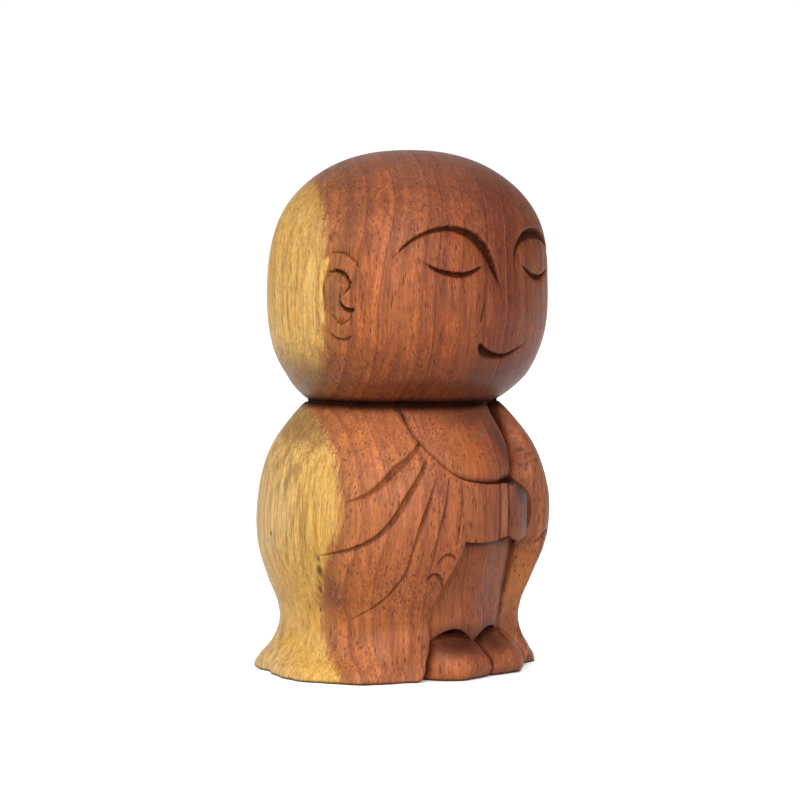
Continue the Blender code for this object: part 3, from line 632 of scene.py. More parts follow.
def build_figure():
    verts, tris = surface_net((-45.0, -45.0, -1.9), (45.0, 45.0, 152.6), 1.5)
    verts = onto_surface(verts, 3)
    cuts = all_cuts()
    fine, coarse = 0.36, 1.5

    def target(p):
        size = np.full(len(p), coarse)
        for cut in cuts:
            rows = cut.near(p)
            if not len(rows):
                continue
            index, off, past = cut.locate(p[rows])
            reach = cut.width[index] * np.where(off > 0, cut.above, 1 - cut.above) + 0.25
            away = np.maximum(np.abs(off) - reach, 0) + past
            size[rows] = np.minimum(size[rows], fine + 0.42 * away)
        neck = np.abs(p[:, 2] - 77.0)
        return np.minimum(size, 0.6 + 0.35 * np.maximum(neck - 1.2, 0))

    for turn in range(4):
        pairs, of_tri = edges_of(tris)
        a, b = verts[pairs[:, 0]], verts[pairs[:, 1]]
        length = np.linalg.norm(a - b, axis=1)
        normal = unit(gradient(verts))
        bend = 1 - (normal[pairs[:, 0]] * normal[pairs[:, 1]]).sum(1)
        mark = length > 1.45 * target((a + b) / 2)
        mark |= (bend > 0.035) & (length > 0.62)
        verts, tris = split_marked(verts, tris, pairs, of_tri, mark)
        verts = onto_surface(verts, 2)
        # even the spacing along the surface
        pairs, _ = edges_of(tris)
        for _ in range(2):
            total = np.zeros_like(verts)
            count = np.bincount(pairs.ravel(), minlength=len(verts))
            for axis in range(3):
                total[:, axis] = (np.bincount(pairs[:, 0], verts[pairs[:, 1], axis], len(verts))
                                  + np.bincount(pairs[:, 1], verts[pairs[:, 0], axis], len(verts)))
            move = total / count[:, None] - verts
            normal = unit(gradient(verts))
            move -= (move * normal).sum(1, keepdims=True) * normal
            verts = verts + 0.35 * move
            verts = onto_surface(verts, 1)
        print("pass", turn, "vertices", len(verts), "triangles", len(tris))
        if len(tris) > 150000:
            break

    # draw vertices onto the rims of the cuts, so that they run clean
    normal = unit(gradient(verts, 0.1))
    for cut in cuts:
        rows = cut.near(verts)
        if not len(rows):
            continue
        index, off, past = cut.locate(verts[rows])
        w = cut.width[index]
        for line in (0 * w, w * cut.above, -w * (1 - cut.above)):
            close = (np.abs(off - line) < 0.15) & (past < 0.05) & (w > 0.35)
            shift = (line - off)[close, None] * cut.side[index[close]]
            verts[rows[close]] += shift
            off[close] = line[close]
    verts = onto_surface(verts, 1)
    normal = unit(gradient(verts, 0.1))

    sink = np.zeros(len(verts))
    dark = np.zeros(len(verts))
    for cut in cuts:
        rows = cut.near(verts)
        if not len(rows):
            continue
        depth, shade, off, index = cut.profile(verts[rows])
        sink[rows] = np.maximum(sink[rows], depth)
        dark[rows] = np.maximum(dark[rows], shade)
    # the crease under the head, sunk and painted with shade
    x, y, z = verts.T
    crease = np.exp(-((np.abs(head_field(x, y, z)) + np.abs(cloak_field(x, y, z))) / 0.75)**2) * (z > 73.0) * (z < 84.0)
    sink = np.maximum(sink, 0.55 * crease)
    dark = np.maximum(dark, 0.75 * crease)
    # and where the drape's edge lies on the chest, sunk a little and painted with its shadow
    front = (y < -15.0) & (z > 52.0) & (z < 79.0)
    line = np.abs(polygon(x, z, LAPEL_LINE)) * front
    contact = np.exp(-((line + np.abs(chest_field(x, y, z))) / 0.9)**2) * front
    sink = np.maximum(sink, 0.40 * contact)
    dark = np.maximum(dark, 0.62 * contact)
    # torn fibres at the bottom of the cuts
    grain = noise3(verts * np.array([2.6, 2.6, 0.7]), 5)
    sink = sink * (1 + 0.28 * (grain - 0.5) * dark)
    lift = np.zeros(len(verts))
    pale_rim = np.zeros(len(verts))
    for height, half, path in RIDGES:
        for side in (1, -1):
            more = ridge_lift(verts, height, half, path, side)
            lift += more
            pale_rim += np.clip((more / height - 0.45) / 0.55, 0, 1)
    # quiet tool facets all over, a few hundredths of a millimetre
    waves = (noise3(verts / 8.0, 11) - 0.5) * 0.10 + (noise3(verts / 3.1, 12) - 0.5) * 0.03
    waves *= ease(0.3, 2.0, verts[:, 2])
    base = verts.copy()
    verts = verts - normal * (sink - lift - waves)[:, None]
    return base, verts, tris, normal, sink, dark, pale_rim


BASE, VERTS, TRIS, NORMAL, SINK, DARK, PALE_RIM = build_figure()
print("figure", len(VERTS), "vertices", len(TRIS), "triangles")


def object_from(name, verts, tris, attributes):
    mesh = bpy.data.meshes.new(name)
    mesh.vertices.add(len(verts))
    mesh.vertices.foreach_set("co", verts.astype(np.float32).ravel())
    mesh.loops.add(len(tris) * 3)
    mesh.loops.foreach_set("vertex_index", tris.astype(np.int32).ravel())
    mesh.polygons.add(len(tris))
    mesh.polygons.foreach_set("loop_start", np.arange(0, len(tris) * 3, 3, dtype=np.int32))
    mesh.update(calc_edges=True)
    mesh.validate()
    for key, values in attributes.items():
        layer = mesh.attributes.new(key, "FLOAT", "POINT")
        layer.data.foreach_set("value", values.astype(np.float32))
    mesh.shade_smooth()
    obj = bpy.data.objects.new(name, mesh)
    bpy.context.scene.collection.objects.link(obj)
    return obj


# ----------------------------------------------------------------- growth rings, per vertex
# The log's heart lies in front of the figure's left shoulder, outside the wood, so the rings
# cross the front nearly upright and the sapwood takes the back right corner.
PITH = (54.0, -45.0)
SAP_EDGE = [(0.0, 97.8), (10.0, 97.7), (17.0, 97.8), (20.0, 98.8), (26.0, 100.0), (33.0, 100.5),
            (38.0, 99.9), (43.0, 98.9), (55.0, 98.1), (68.0, 97.3), (76.0, 97.8), (92.0, 99.4),
            (100.0, 100.6), (110.0, 101.0), (119.0, 99.8), (129.0, 98.6), (141.0, 97.2),
            (150.0, 96.8)]


def growth():
    x, y, z = BASE.T
    ring = np.hypot(x - PITH[0], y - PITH[1])
    sway = (noise3(np.stack([x / 34, y / 34, z / 70], 1), 3) - 0.5) * 2.0
    sway += (noise3(np.stack([x / 10, y / 10, z / 30], 1), 4) - 0.5) * 0.9
    # the log leans a little, so the rings climb the dome of the head nearly upright
    sway += 8.0 * np.clip((z - 116.0) / 33.0, 0, 1)**1.7
    sap = ring - smooth(SAP_EDGE, z) + 3.4 * PALE_RIM
    knot = np.array([18.0, -32.2, 61.3])
    d2 = ((BASE - knot)**2 / np.array([26.0, 26.0, 60.0])).sum(1)
    swirl = 13.0 * np.exp(-d2)
    follow = (smooth(SAP_EDGE, z) - 99.0) * np.exp(-np.maximum(99.0 - ring, 0) / 45.0)
    return ring - follow + sway + swirl, sap


RING, SAP = growth()

# cavity: how far the surface lies below its surroundings' average, from the mesh itself
pairs, _ = edges_of(TRIS)
count = np.maximum(np.bincount(pairs.ravel(), minlength=len(VERTS)), 1)


def spread(v):
    out = np.empty_like(v)
    for axis in range(v.shape[1]):
        out[:, axis] = (np.bincount(pairs[:, 0], v[pairs[:, 1], axis], len(v))
                        + np.bincount(pairs[:, 1], v[pairs[:, 0], axis], len(v))) / count
    return out


avg = VERTS
for _ in range(6):
    avg = 0.5 * avg + 0.5 * spread(avg)
CAVITY = np.clip(((avg - VERTS) * NORMAL).sum(1) / 0.35, -1, 1)
# how closed in a place is: the free room a little way off the surface
CLOSED = np.zeros(len(VERTS))
for reach, share in ((0.8, 0.25), (1.8, 0.25), (3.6, 0.25), (7.0, 0.15), (14.0, 0.15)):
    free = wood(BASE + NORMAL * reach)
    CLOSED += share * np.clip((reach - free) / reach, 0, 1)
CLOSED *= ease(0.0, 4.0, VERTS[:, 2]) * 0.7 + 0.3

WORLD = np.stack([VERTS[:, 0], VERTS[:, 1] + SHIFT_Y, VERTS[:, 2]], 1) * MM
figure = object_from("carved_monk", WORLD, TRIS,
                     {"ring": RING, "sap": SAP, "cut": DARK, "hollow": np.clip(CAVITY, 0, 1),
                      "edge": np.clip(-CAVITY, 0, 1), "closed": CLOSED})

# =============================================================================== materials


class Graph:
    """Short hand for shader nodes."""

    def __init__(self, name):
        self.mat = bpy.data.materials.new(name)
        self.mat.use_nodes = True
        self.tree = self.mat.node_tree
        self.shader = self.tree.nodes["Principled BSDF"]

    def node(self, kind, **settings):
        n = self.tree.nodes.new(kind)
        for k, v in settings.items():
            setattr(n, k, v)
        return n

    def put(self, socket, value):
        if isinstance(value, bpy.types.NodeSocket):
            self.tree.links.new(value, socket)
        else:
            socket.default_value = value

    def math(self, op, a, b=0.0, c=None, clamp=False):
        n = self.node("ShaderNodeMath", operation=op, use_clamp=clamp)
        self.put(n.inputs[0], a)
        self.put(n.inputs[1], b)
        if c is not None:
            self.put(n.inputs[2], c)
        return n.outputs[0]

    def vector(self, op, a, b=None, scale=None):
        n = self.node("ShaderNodeVectorMath", operation=op)
        self.put(n.inputs[0], a)
        if b is not None:
            self.put(n.inputs[1], b)
        if scale is not None:
            self.put(n.inputs["Scale"], scale)
        return n.outputs["Value"] if op in ("DISTANCE", "LENGTH", "DOT_PRODUCT") else n.outputs[0]

    def attribute(self, name):
        return self.node("ShaderNodeAttribute", attribute_name=name, attribute_type="GEOMETRY").outputs["Fac"]

    def noise(self, vector, scale, detail=2.0, rough=0.5, lacunarity=2.0):
        n = self.node("ShaderNodeTexNoise", noise_dimensions="3D")
        self.put(n.inputs["Vector"], vector)
        n.inputs["Scale"].default_value = scale
        n.inputs["Detail"].default_value = detail
        n.inputs["Roughness"].default_value = rough
        n.inputs["Lacunarity"].default_value = lacunarity
        return n.outputs[0]

    def noise1(self, w, scale, detail=2.0, rough=0.5):
        n = self.node("ShaderNodeTexNoise", noise_dimensions="1D")
        self.put(n.inputs["W"], w)
        n.inputs["Scale"].default_value = scale
        n.inputs["Detail"].default_value = detail
        n.inputs["Roughness"].default_value = rough
        return n.outputs[0]

    def step(self, v, low, high):
        n = self.node("ShaderNodeMapRange", interpolation_type="SMOOTHSTEP")
        self.put(n.inputs["Value"], v)
        n.inputs["From Min"].default_value = low
        n.inputs["From Max"].default_value = high
        n.inputs["To Min"].default_value = 0.0
        n.inputs["To Max"].default_value = 1.0
        return n.outputs["Result"]

    def mix(self, fac, a, b, blend="MIX"):
        n = self.node("ShaderNodeMix", data_type="RGBA", blend_type=blend)
        n.clamp_factor = True
        self.put(n.inputs[0], fac)
        self.put(n.inputs[6], a if isinstance(a, bpy.types.NodeSocket) else (*a, 1.0))
        self.put(n.inputs[7], b if isinstance(b, bpy.types.NodeSocket) else (*b, 1.0))
        return n.outputs[2]

    def shade(self, colour, factor):
        """Colour times a grey number."""
        n = self.node("ShaderNodeVectorMath", operation="SCALE")
        self.put(n.inputs[0], colour)
        self.put(n.inputs["Scale"], factor)
        return n.outputs[0]

    def ramp(self, v, stops):
        n = self.node("ShaderNodeValToRGB")
        r = n.color_ramp
        while len(r.elements) < len(stops):
            r.elements.new(0.5)
        for e, (at, colour) in zip(r.elements, stops):
            e.position = at
            e.color = (*colour, 1.0)
        self.put(n.inputs[0], v)
        return n.outputs[0]

    def voronoi(self, vector, randomness=1.0):
        n = self.node("ShaderNodeTexVoronoi", feature="F1", voronoi_dimensions="3D")
        self.put(n.inputs["Vector"], vector)
        n.inputs["Scale"].default_value = 1.0
        n.inputs["Randomness"].default_value = randomness
        return n.outputs["Distance"], n.outputs["Color"]


def srgb(r, g, b):
    return tuple((c / 255 / 12.92) if c / 255 <= 0.04045 else ((c / 255 + 0.055) / 1.055)**2.4
                 for c in (r, g, b))


def make_wood():
    g = Graph("two_tone_wood")
    place = g.vector("SCALE", g.node("ShaderNodeTexCoord").outputs["Object"], scale=1000.0)
    ring, sap = g.attribute("ring"), g.attribute("sap")
    cut, hollow, edge = g.attribute("cut"), g.attribute("hollow"), g.attribute("edge")
    closed = g.attribute("closed")
    xyz = g.node("ShaderNodeSeparateXYZ")
    g.put(xyz.inputs[0], place)
    height_mm = xyz.outputs[2]

    def centred(v, amount):
        """1 where the noise is at its middle, and `amount` more or less at its ends."""
        return g.math("ADD", 1.0 - 0.5 * amount, g.math("MULTIPLY", v, amount))

    # fibres: long upright streaks at three widths
    long_a = g.noise(g.vector("MULTIPLY", place, (1.0, 1.0, 0.07)), 0.55, 4.0, 0.6)
    long_b = g.noise(g.vector("MULTIPLY", place, (1.0, 1.0, 0.06)), 1.3, 4.0, 0.7)
    long_c = g.noise(g.vector("MULTIPLY", place, (1.0, 1.0, 0.11)), 3.0, 3.0, 0.7)
    fleck = g.noise(g.vector("MULTIPLY", place, (1.0, 1.0, 0.34)), 2.6, 3.0, 0.7)
    blotch = g.noise(g.vector("MULTIPLY", place, (1.0, 1.0, 0.45)), 0.085, 3.0, 0.55)
    cloud = g.noise(place, 0.19, 4.0, 0.6)
    speck = g.noise(g.vector("MULTIPLY", place, (1.0, 1.0, 0.8)), 1.5, 3.0, 0.75)

    # growth rings: the tone drifts from one ring to the next, and a thin purple line closes
    # most of them
    bend = g.noise(g.vector("MULTIPLY", place, (1.0, 1.0, 0.25)), 0.16, 2.0, 0.5)
    wavy = g.math("ADD", ring, g.math("MULTIPLY", g.math("SUBTRACT", bend, 0.5), 1.6))
    broad = g.noise1(wavy, 0.13, 2.0, 0.5)
    middle = g.noise1(wavy, 0.45, 2.0, 0.55)
    thin = g.noise1(wavy, 1.3, 1.0, 0.5)
    count = g.math("DIVIDE", wavy, 4.4)
    phase = g.math("FRACT", g.math("ADD", count, g.math("MULTIPLY", g.noise1(wavy, 0.11, 1.0, 0.5), 1.6)))
    keep = g.step(g.noise1(g.math("FLOOR", count), 3.7, 0.0, 0.5), 0.30, 0.62)
    ring_line = g.math("MULTIPLY", g.math("SUBTRACT", 1.0, g.step(phase, 0.03, 0.13)), keep)
    fine_line = g.math("SUBTRACT", 1.0, g.step(thin, 0.30, 0.42))
    late = g.math("POWER", phase, 2.5)

    # heartwood, from the log's heart outwards
    at = g.math("DIVIDE", g.math("SUBTRACT", wavy, 36.0), 66.0)
    tones = [(36, (160, 92, 60)), (45, (152, 84, 52)), (51, (136, 70, 44)), (53.0, (122, 58, 38)),
             (54.6, (140, 70, 46)), (60.6, (136, 68, 42)), (61.8, (162, 86, 48)), (66, (158, 84, 48)),
             (70, (170, 90, 49)), (76, (162, 86, 48)), (81, (176, 97, 54)), (85, (170, 94, 54)),
             (88, (186, 104, 54)), (92, (178, 98, 50)), (97, (168, 96, 52)), (102, (164, 104, 60))]
    heart = g.ramp(at, [((r - 36) / 66, srgb(*c)) for r, c in tones])
    near_sap = g.math("MULTIPLY", g.step(sap, -4.4, -1.6), 0.40)
    heart = g.mix(near_sap, heart, srgb(190, 120, 56))
    heart = g.mix(g.math("MULTIPLY", g.step(sap, -13.0, -2.5), 0.20), heart, srgb(198, 124, 62))
    heart = g.shade(heart, centred(broad, 0.70))
    heart = g.mix(g.math("MULTIPLY", g.step(blotch, 0.48, 0.70), 0.42), heart, srgb(146, 76, 52))
    heart = g.mix(g.math("MULTIPLY", g.step(middle, 0.55, 0.74), 0.34), heart, srgb(190, 108, 56))
    heart = g.mix(g.math("MULTIPLY", g.math("SUBTRACT", 1.0, g.step(middle, 0.28, 0.44)), 0.42), heart, srgb(120, 58, 42))
    heart = g.shade(heart, g.math("SUBTRACT", 1.06, g.math("MULTIPLY", late, 0.26)))
    heart = g.mix(g.math("MULTIPLY", fine_line, 0.30), heart, srgb(104, 48, 36))
    heart = g.mix(g.math("MULTIPLY", ring_line, 0.72), heart, srgb(86, 38, 32))
    heart = g.shade(heart, centred(long_a, 0.80))
    heart = g.shade(heart, centred(long_b, 1.30))
    heart = g.shade(heart, centred(long_c, 1.20))
    heart = g.shade(heart, centred(fleck, 1.00))
    heart = g.shade(heart, centred(speck, 0.40))
    heart = g.shade(heart, centred(cloud, 0.80))
    reddish = g.math("MULTIPLY", g.math("SUBTRACT", 1.0, g.step(long_a, 0.36, 0.50)), 0.38)
    heart = g.mix(reddish, heart, srgb(128, 58, 42))
    # below the neck the heartwood is lighter than on the head
    body = g.vector("MULTIPLY", heart, (1.34, 1.46, 1.58))
    body = g.mix(0.26, body, g.shade(srgb(186, 110, 70), centred(long_b, 0.9)))
    heart = g.mix(g.step(height_mm, 74.0, 84.0), body, g.vector("MULTIPLY", heart, (1.08, 1.07, 1.05)))

    # sapwood
    pale = g.ramp(long_a, [(0.34, srgb(198, 144, 66)), (0.46, srgb(222, 172, 90)),
                           (0.62, srgb(238, 192, 112))])
    pale = g.mix(g.math("MULTIPLY", g.step(cloud, 0.50, 0.70), 0.40), pale, srgb(206, 162, 100))
    pale = g.mix(g.math("MULTIPLY", fine_line, 0.22), pale, srgb(160, 106, 48))
    pale = g.mix(g.math("MULTIPLY", ring_line, 0.22), pale, srgb(160, 112, 56))
    dark_fibre = g.math("MULTIPLY", g.math("SUBTRACT", 1.0, g.step(long_b, 0.36, 0.47)), 0.42)
    pale = g.mix(dark_fibre, pale, srgb(164, 112, 52))
    pale = g.shade(pale, centred(long_b, 0.80))
    pale = g.shade(pale, centred(long_c, 1.35))
    pale = g.shade(pale, centred(fleck, 0.90))
    pale = g.shade(pale, centred(speck, 0.30))
    pale = g.shade(pale, centred(cloud, 0.35))
    pale = g.shade(pale, 1.11)

    # marks: grey-olive streaks, brown veils, a stain, small dead knots, and painted shade and sheen on the head
    def mark(at, reach, low, high):
        d = g.vector("LENGTH", g.vector("MULTIPLY", g.vector("SUBTRACT", place, at), tuple(1 / r for r in reach)))
        return g.math("SUBTRACT", 1.0, g.step(d, low, high))

    streak = g.math("SUBTRACT", 1.0, g.step(long_a, 0.42, 0.54))
    olive = g.math("MULTIPLY", mark((-41.0, 4.0, 50.0), (10.0, 12.0, 25.0), 0.45, 1.20), streak)
    pale = g.mix(g.math("MULTIPLY", olive, 0.74), pale, g.shade(srgb(142, 114, 72), centred(long_b, 1.3)))
    veil = g.math("MULTIPLY", mark((-31.0, 6.0, 75.5), (20.0, 25.0, 13.0), 0.45, 1.20), 0.66)
    pale = g.mix(veil, pale, g.shade(srgb(128, 92, 58), centred(long_b, 2.0)))
    # painted shade under the head
    under = g.math("MULTIPLY", g.math("SUBTRACT", 1.0, g.step(height_mm, 84.0, 98.0)), g.step(height_mm, 77.0, 80.0))
    pale = g.mix(g.math("MULTIPLY", under, 0.72), pale, g.shade(srgb(126, 88, 54), centred(long_b, 1.2)))
    shadowed = g.math("SUBTRACT", g.step(height_mm, 69.0, 77.5), g.step(height_mm, 77.5, 80.0))
    # painted shade and grey sheen on the upper part of the head
    crown = g.step(height_mm, 118.0, 140.0)
    pale = g.mix(g.math("MULTIPLY", crown, 0.35), pale, srgb(190, 142, 80))
    heart = g.mix(g.math("MULTIPLY", crown, 0.40), heart, g.shade(srgb(126, 78, 66), centred(long_b, 1.3)))
    # painted whitish sheen on the top of the head
    summit = g.step(height_mm, 136.0, 149.0)
    heart = g.mix(g.math("MULTIPLY", summit, 0.34), heart, g.shade(srgb(158, 116, 96), centred(long_b, 1.2)))
    # the same painted shade under the head on the heartwood
    heart = g.shade(heart, g.math("SUBTRACT", 1.0, g.math("MULTIPLY", under, 0.34)))
    heart = g.mix(g.math("MULTIPLY", shadowed, 0.46), heart, g.shade(srgb(112, 60, 42), centred(long_b, 1.2)))

    ragged = g.noise(g.vector("MULTIPLY", place, (1.0, 1.0, 0.05)), 0.9, 2.0, 0.5)
    rough_edge = g.math("ADD", sap, g.math("MULTIPLY", g.math("SUBTRACT", ragged, 0.5), 3.6))
    rough_edge = g.math("ADD", rough_edge, g.math("MULTIPLY", g.math("SUBTRACT", long_c, 0.5), 1.6))
    is_sap = g.step(rough_edge, -0.9, 0.9)
    beside = g.math("SUBTRACT", 1.0, g.step(rough_edge, 1.4, 4.6))
    high = g.step(height_mm, 114.0, 124.0)
    pale = g.mix(g.math("MULTIPLY", g.math("MULTIPLY", beside, high), 0.50), pale,
                 g.shade(srgb(190, 138, 68), centred(long_b, 1.2)))
    golden = g.math("SUBTRACT", 1.0, g.step(rough_edge, 5.0, 11.0))
    golden = g.math("MULTIPLY", golden, g.math("SUBTRACT", 1.0, g.step(height_mm, 58.0, 69.0)))
    pale = g.mix(g.math("MULTIPLY", golden, 0.42), pale, g.shade(srgb(236, 180, 84), centred(long_b, 1.2)))
    duller = g.math("MULTIPLY", g.step(rough_edge, 6.0, 12.0), g.math("SUBTRACT", 1.0, g.step(height_mm, 66.0, 76.0)))
    pale = g.mix(g.math("MULTIPLY", duller, 0.50), pale, g.shade(srgb(226, 188, 132), centred(long_a, 1.9)))
    # beside the ear the two woods run into one another in streaks
    by_ear = g.math("MULTIPLY", mark((-39.5, -8.0, 108.0), (11.0, 9.0, 17.0), 0.35, 1.1), g.step(long_b, 0.40, 0.60))
    heart = g.mix(g.math("MULTIPLY", by_ear, 0.55), heart, srgb(204, 136, 70))
    wood_colour = g.mix(is_sap, heart, pale)

    # lighter and darker places of the front: the ear's hollow, the strip between the sleeve ends and the sleeve's inner
    # face are the wood's own tone, the rest are painted light and shade
    broken = g.math("ADD", 0.52, g.math("MULTIPLY", long_c, 0.96))
    for at, reach, tone, share in (((-39.4, -11.8, 108.4), (3.6, 4.2, 6.6), (134, 82, 50), 0.60),
                                   ((1.4, -40.0, 48.0), (1.9, 3.0, 9.0), (206, 136, 100), 0.72),
                                   # painted shadow under the sleeve ends
                                   ((-3.0, -36.4, 38.6), (13.0, 6.0, 1.5), (46, 22, 15), 0.92),
                                   # painted highlight on the chest
                                   ((-7.0, -31.5, 62.0), (9.0, 9.0, 8.0), (214, 120, 50), 0.55),
                                   ((18.0, -31.0, 23.0), (6.5, 8.0, 18.0), (226, 140, 76), 0.80),
                                   # painted light on the fronts of the feet
                                   ((-6.0, -34.0, 2.0), (12.0, 5.0, 3.6), (200, 120, 66), 0.34),
                                   ((15.0, -32.0, 2.5), (9.0, 5.0, 3.2), (196, 118, 66), 0.30),
                                   # painted shade and grey sheen on the chest's right side
                                   ((7.4, -33.4, 69.0), (6.0, 7.0, 11.0), (84, 58, 52), 0.70),
                                   # painted shadow of the head on the top of the chest
                                   ((-3.0, -30.0, 75.0), (16.0, 14.0, 4.5), (98, 50, 34), 0.45),
                                   # painted shade on the tops of the feet under the hem
                                   ((-8.2, -29.5, 10.6), (13.0, 10.0, 6.2), (80, 38, 27), 0.90),
                                   ((7.0, -30.5, 10.8), (7.6, 9.0, 6.2), (80, 38, 27), 0.86),
                                   # painted grey sheen and shade on the rolled left end of the sleeves
                                   ((6.5, -39.8, 47.5), (5.0, 4.5, 11.0), (104, 68, 56), 0.50),
                                   ((11.2, -38.4, 48.5), (2.8, 3.6, 9.0), (60, 52, 50), 0.80),
                                   # painted shade in the upper corner of the sleeves' rolled left end, and a painted
                                   # black shadow in the pit at the top of the left seam
                                   ((9.2, -38.4, 54.8), (5.4, 5.2, 4.2), (46, 38, 35), 0.88),
                                   ((8.8, -39.8, 52.6), (3.8, 4.2, 4.4), (54, 45, 43), 0.74),
                                   ((4.2, -38.8, 56.4), (3.2, 4.2, 2.2), (16, 12, 10), 1.00)):
        wood_colour = g.mix(g.math("MINIMUM", g.math("MULTIPLY", g.math("MULTIPLY", mark(at, reach, 0.25, 1.15), broken),
                                                     share), 0.97), wood_colour,
                            g.shade(srgb(*tone), centred(long_b, 1.0)))
    stain = g.math("MULTIPLY", mark((-36.5, -9.3, 23.5), (4.4, 4.4, 11.0), 0.20, 1.15), g.step(speck, 0.36, 0.56))
    wood_colour = g.mix(g.math("MULTIPLY", stain, 0.82), wood_colour, srgb(84, 54, 34))
    for at, reach in (((-39.4, -6.2, 31.4), (1.2, 1.2, 2.7)), ((-37.4, -4.6, 25.8), (0.8, 0.8, 1.8)),
                      ((-35.0, -2.2, 19.8), (0.55, 0.55, 1.0)), ((-40.0, 12.9, 40.6), (0.7, 0.7, 1.0)),
                      ((-40.2, -6.8, 35.0), (0.45, 0.45, 1.4)), ((-38.6, -8.0, 33.0), (0.5, 0.5, 1.6)),
                      ((-38.5, -11.2, 122.8), (0.5, 0.9, 2.6)), ((-38.3, -10.0, 125.0), (0.4, 0.6, 1.6))):
        wood_colour = g.mix(g.math("MULTIPLY", mark(at, reach, 0.3, 1.15), 0.85), wood_colour, srgb(62, 38, 24))

    for at, reach in (((16.9, -31.2, 63.8), (2.0, 2.0, 0.8)), ((18.6, -32.3, 62.6), (1.7, 1.9, 0.7)),
                      ((20.6, -33.6, 60.6), (2.0, 2.0, 0.8)), ((17.5, -31.8, 58.8), (2.2, 2.0, 0.9)),
                      ((21.0, -33.8, 65.0), (1.5, 1.8, 0.6))):
        wood_colour = g.mix(g.math("MULTIPLY", mark(at, reach, 0.1, 1.2), 0.62), wood_colour, srgb(72, 36, 26))

    # open vessels: short dark dashes, dots where the grain comes up on end
    crowd = g.step(g.noise(g.vector("MULTIPLY", place, (1.0, 1.0, 0.5)), 0.12, 2.0, 0.5), 0.36, 0.62)

    def vessels(scale, low, high, few, many):
        near, tint = g.voronoi(g.vector("MULTIPLY", place, scale))
        sep = g.node("ShaderNodeSeparateColor")
        g.put(sep.inputs[0], tint)
        kept = g.step(g.math("ADD", sep.outputs[0], g.math("MULTIPLY", crowd, 0.55)), few, many)
        return g.math("MULTIPLY", g.math("SUBTRACT", 1.0, g.step(near, low, high)), kept)

    pores = g.math("MAXIMUM", vessels((1.35, 1.35, 0.30), 0.14, 0.34, 0.66, 1.05),
                   vessels((0.95, 0.95, 0.15), 0.12, 0.30, 0.66, 1.08))
    pore_shade = g.math("MULTIPLY", pores, g.math("SUBTRACT", 0.72, g.math("MULTIPLY", is_sap, 0.40)))
    wood_colour = g.mix(pore_shade, wood_colour, srgb(82, 36, 26))

    # painted shade in the groove under the head, right round, more in some places than in others
    seam = g.math("SUBTRACT", g.step(height_mm, 75.2, 77.0), g.step(height_mm, 78.2, 80.4))
    seam = g.math("MULTIPLY", seam, g.math("ADD", 0.42, g.math("MULTIPLY", blotch, 0.60)))
    wood_colour = g.mix(seam, wood_colour, srgb(50, 27, 19))

    # cuts are painted dark as shade, broken up by the fibres; closed-in places and hollows get painted shade; edges are
    # a little lighter, from wear and a painted highlight
    fibre = g.math("ADD", 0.26, g.math("MULTIPLY", long_c, 1.5))
    deep = g.math("MINIMUM", g.math("MULTIPLY", g.math("MULTIPLY", cut, fibre), 1.06), 0.97)
    wood_colour = g.mix(deep, wood_colour, g.vector("MULTIPLY", wood_colour, (0.15, 0.11, 0.09)))
    # painted contact shadow along the bottom rim
    base_rim_painted_shadow = g.math("MULTIPLY", g.math("SUBTRACT", 1.0, g.step(height_mm, 0.15, 1.0)), 0.86)
    wood_colour = g.mix(base_rim_painted_shadow, wood_colour, srgb(44, 26, 19))
    occlusion_painted_shade = g.math("MULTIPLY", g.step(closed, 0.14, 0.62), 0.76)
    wood_colour = g.mix(occlusion_painted_shade, wood_colour, g.vector("MULTIPLY", wood_colour, (0.34, 0.25, 0.22)))
    wood_colour = g.shade(wood_colour, g.math("SUBTRACT", 1.0, g.math("MULTIPLY", hollow, 0.30)))
    wood_colour = g.shade(wood_colour, g.math("ADD", 1.0, g.math("MULTIPLY", edge, 0.16)))

    g.put(g.shader.inputs["Base Color"], wood_colour)
    rough = g.math("ADD", 0.36, g.math("MULTIPLY", long_c, 0.16))
    rough = g.math("ADD", rough, g.math("MULTIPLY", cloud, 0.10))
    rough = g.math("ADD", rough, g.math("MULTIPLY", g.math("MAXIMUM", cut, pores), 0.25))
    g.put(g.shader.inputs["Roughness"], rough)
    g.shader.inputs["IOR"].default_value = 1.46
    # the closed-in places, the cuts and the groove under the head shine less
    dull = g.math("MAXIMUM", g.math("MULTIPLY", occlusion_painted_shade, 1.2), g.math("MAXIMUM", g.math("MULTIPLY", deep, 0.8), seam))
    shine = g.math("SUBTRACT", 0.30, g.math("MULTIPLY", g.math("MINIMUM", dull, 1.0), 0.28))
    g.put(g.shader.inputs["Specular IOR Level"], shine)

    height = g.math("SUBTRACT", g.math("MULTIPLY", long_c, 0.35), g.math("MULTIPLY", pores, 0.9))
    height = g.math("ADD", height, g.math("MULTIPLY", long_b, 0.45))
    bump = g.node("ShaderNodeBump")
    bump.inputs["Strength"].default_value = 0.34
    bump.inputs["Distance"].default_value = 0.00012
    g.put(bump.inputs["Height"], height)
    g.put(g.shader.inputs["Normal"], bump.outputs[0])
    return g.mat


figure.data.materials.append(make_wood())
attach(figure, "root")
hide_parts("monk_figurine")

# ==================================================================== floor, light, camera


def make_floor():
    mesh = bpy.data.meshes.new("floor")
    s = 40.0
    mesh.from_pydata([(-s, -s, 0), (s, -s, 0), (s, s, 0), (-s, s, 0)], [], [(0, 1, 2, 3)])
    obj = bpy.data.objects.new("floor", mesh)
    bpy.context.scene.collection.objects.link(obj)
    g = Graph("pale_floor")
    g.shader.inputs["Base Color"].default_value = (0.88, 0.88, 0.88, 1)
    g.shader.inputs["Roughness"].default_value = 0.9
    g.shader.inputs["Specular IOR Level"].default_value = 0.1
    mesh.materials.append(g.mat)
    # the table throws little light back up on the wood
    obj.visible_diffuse = False
    return obj


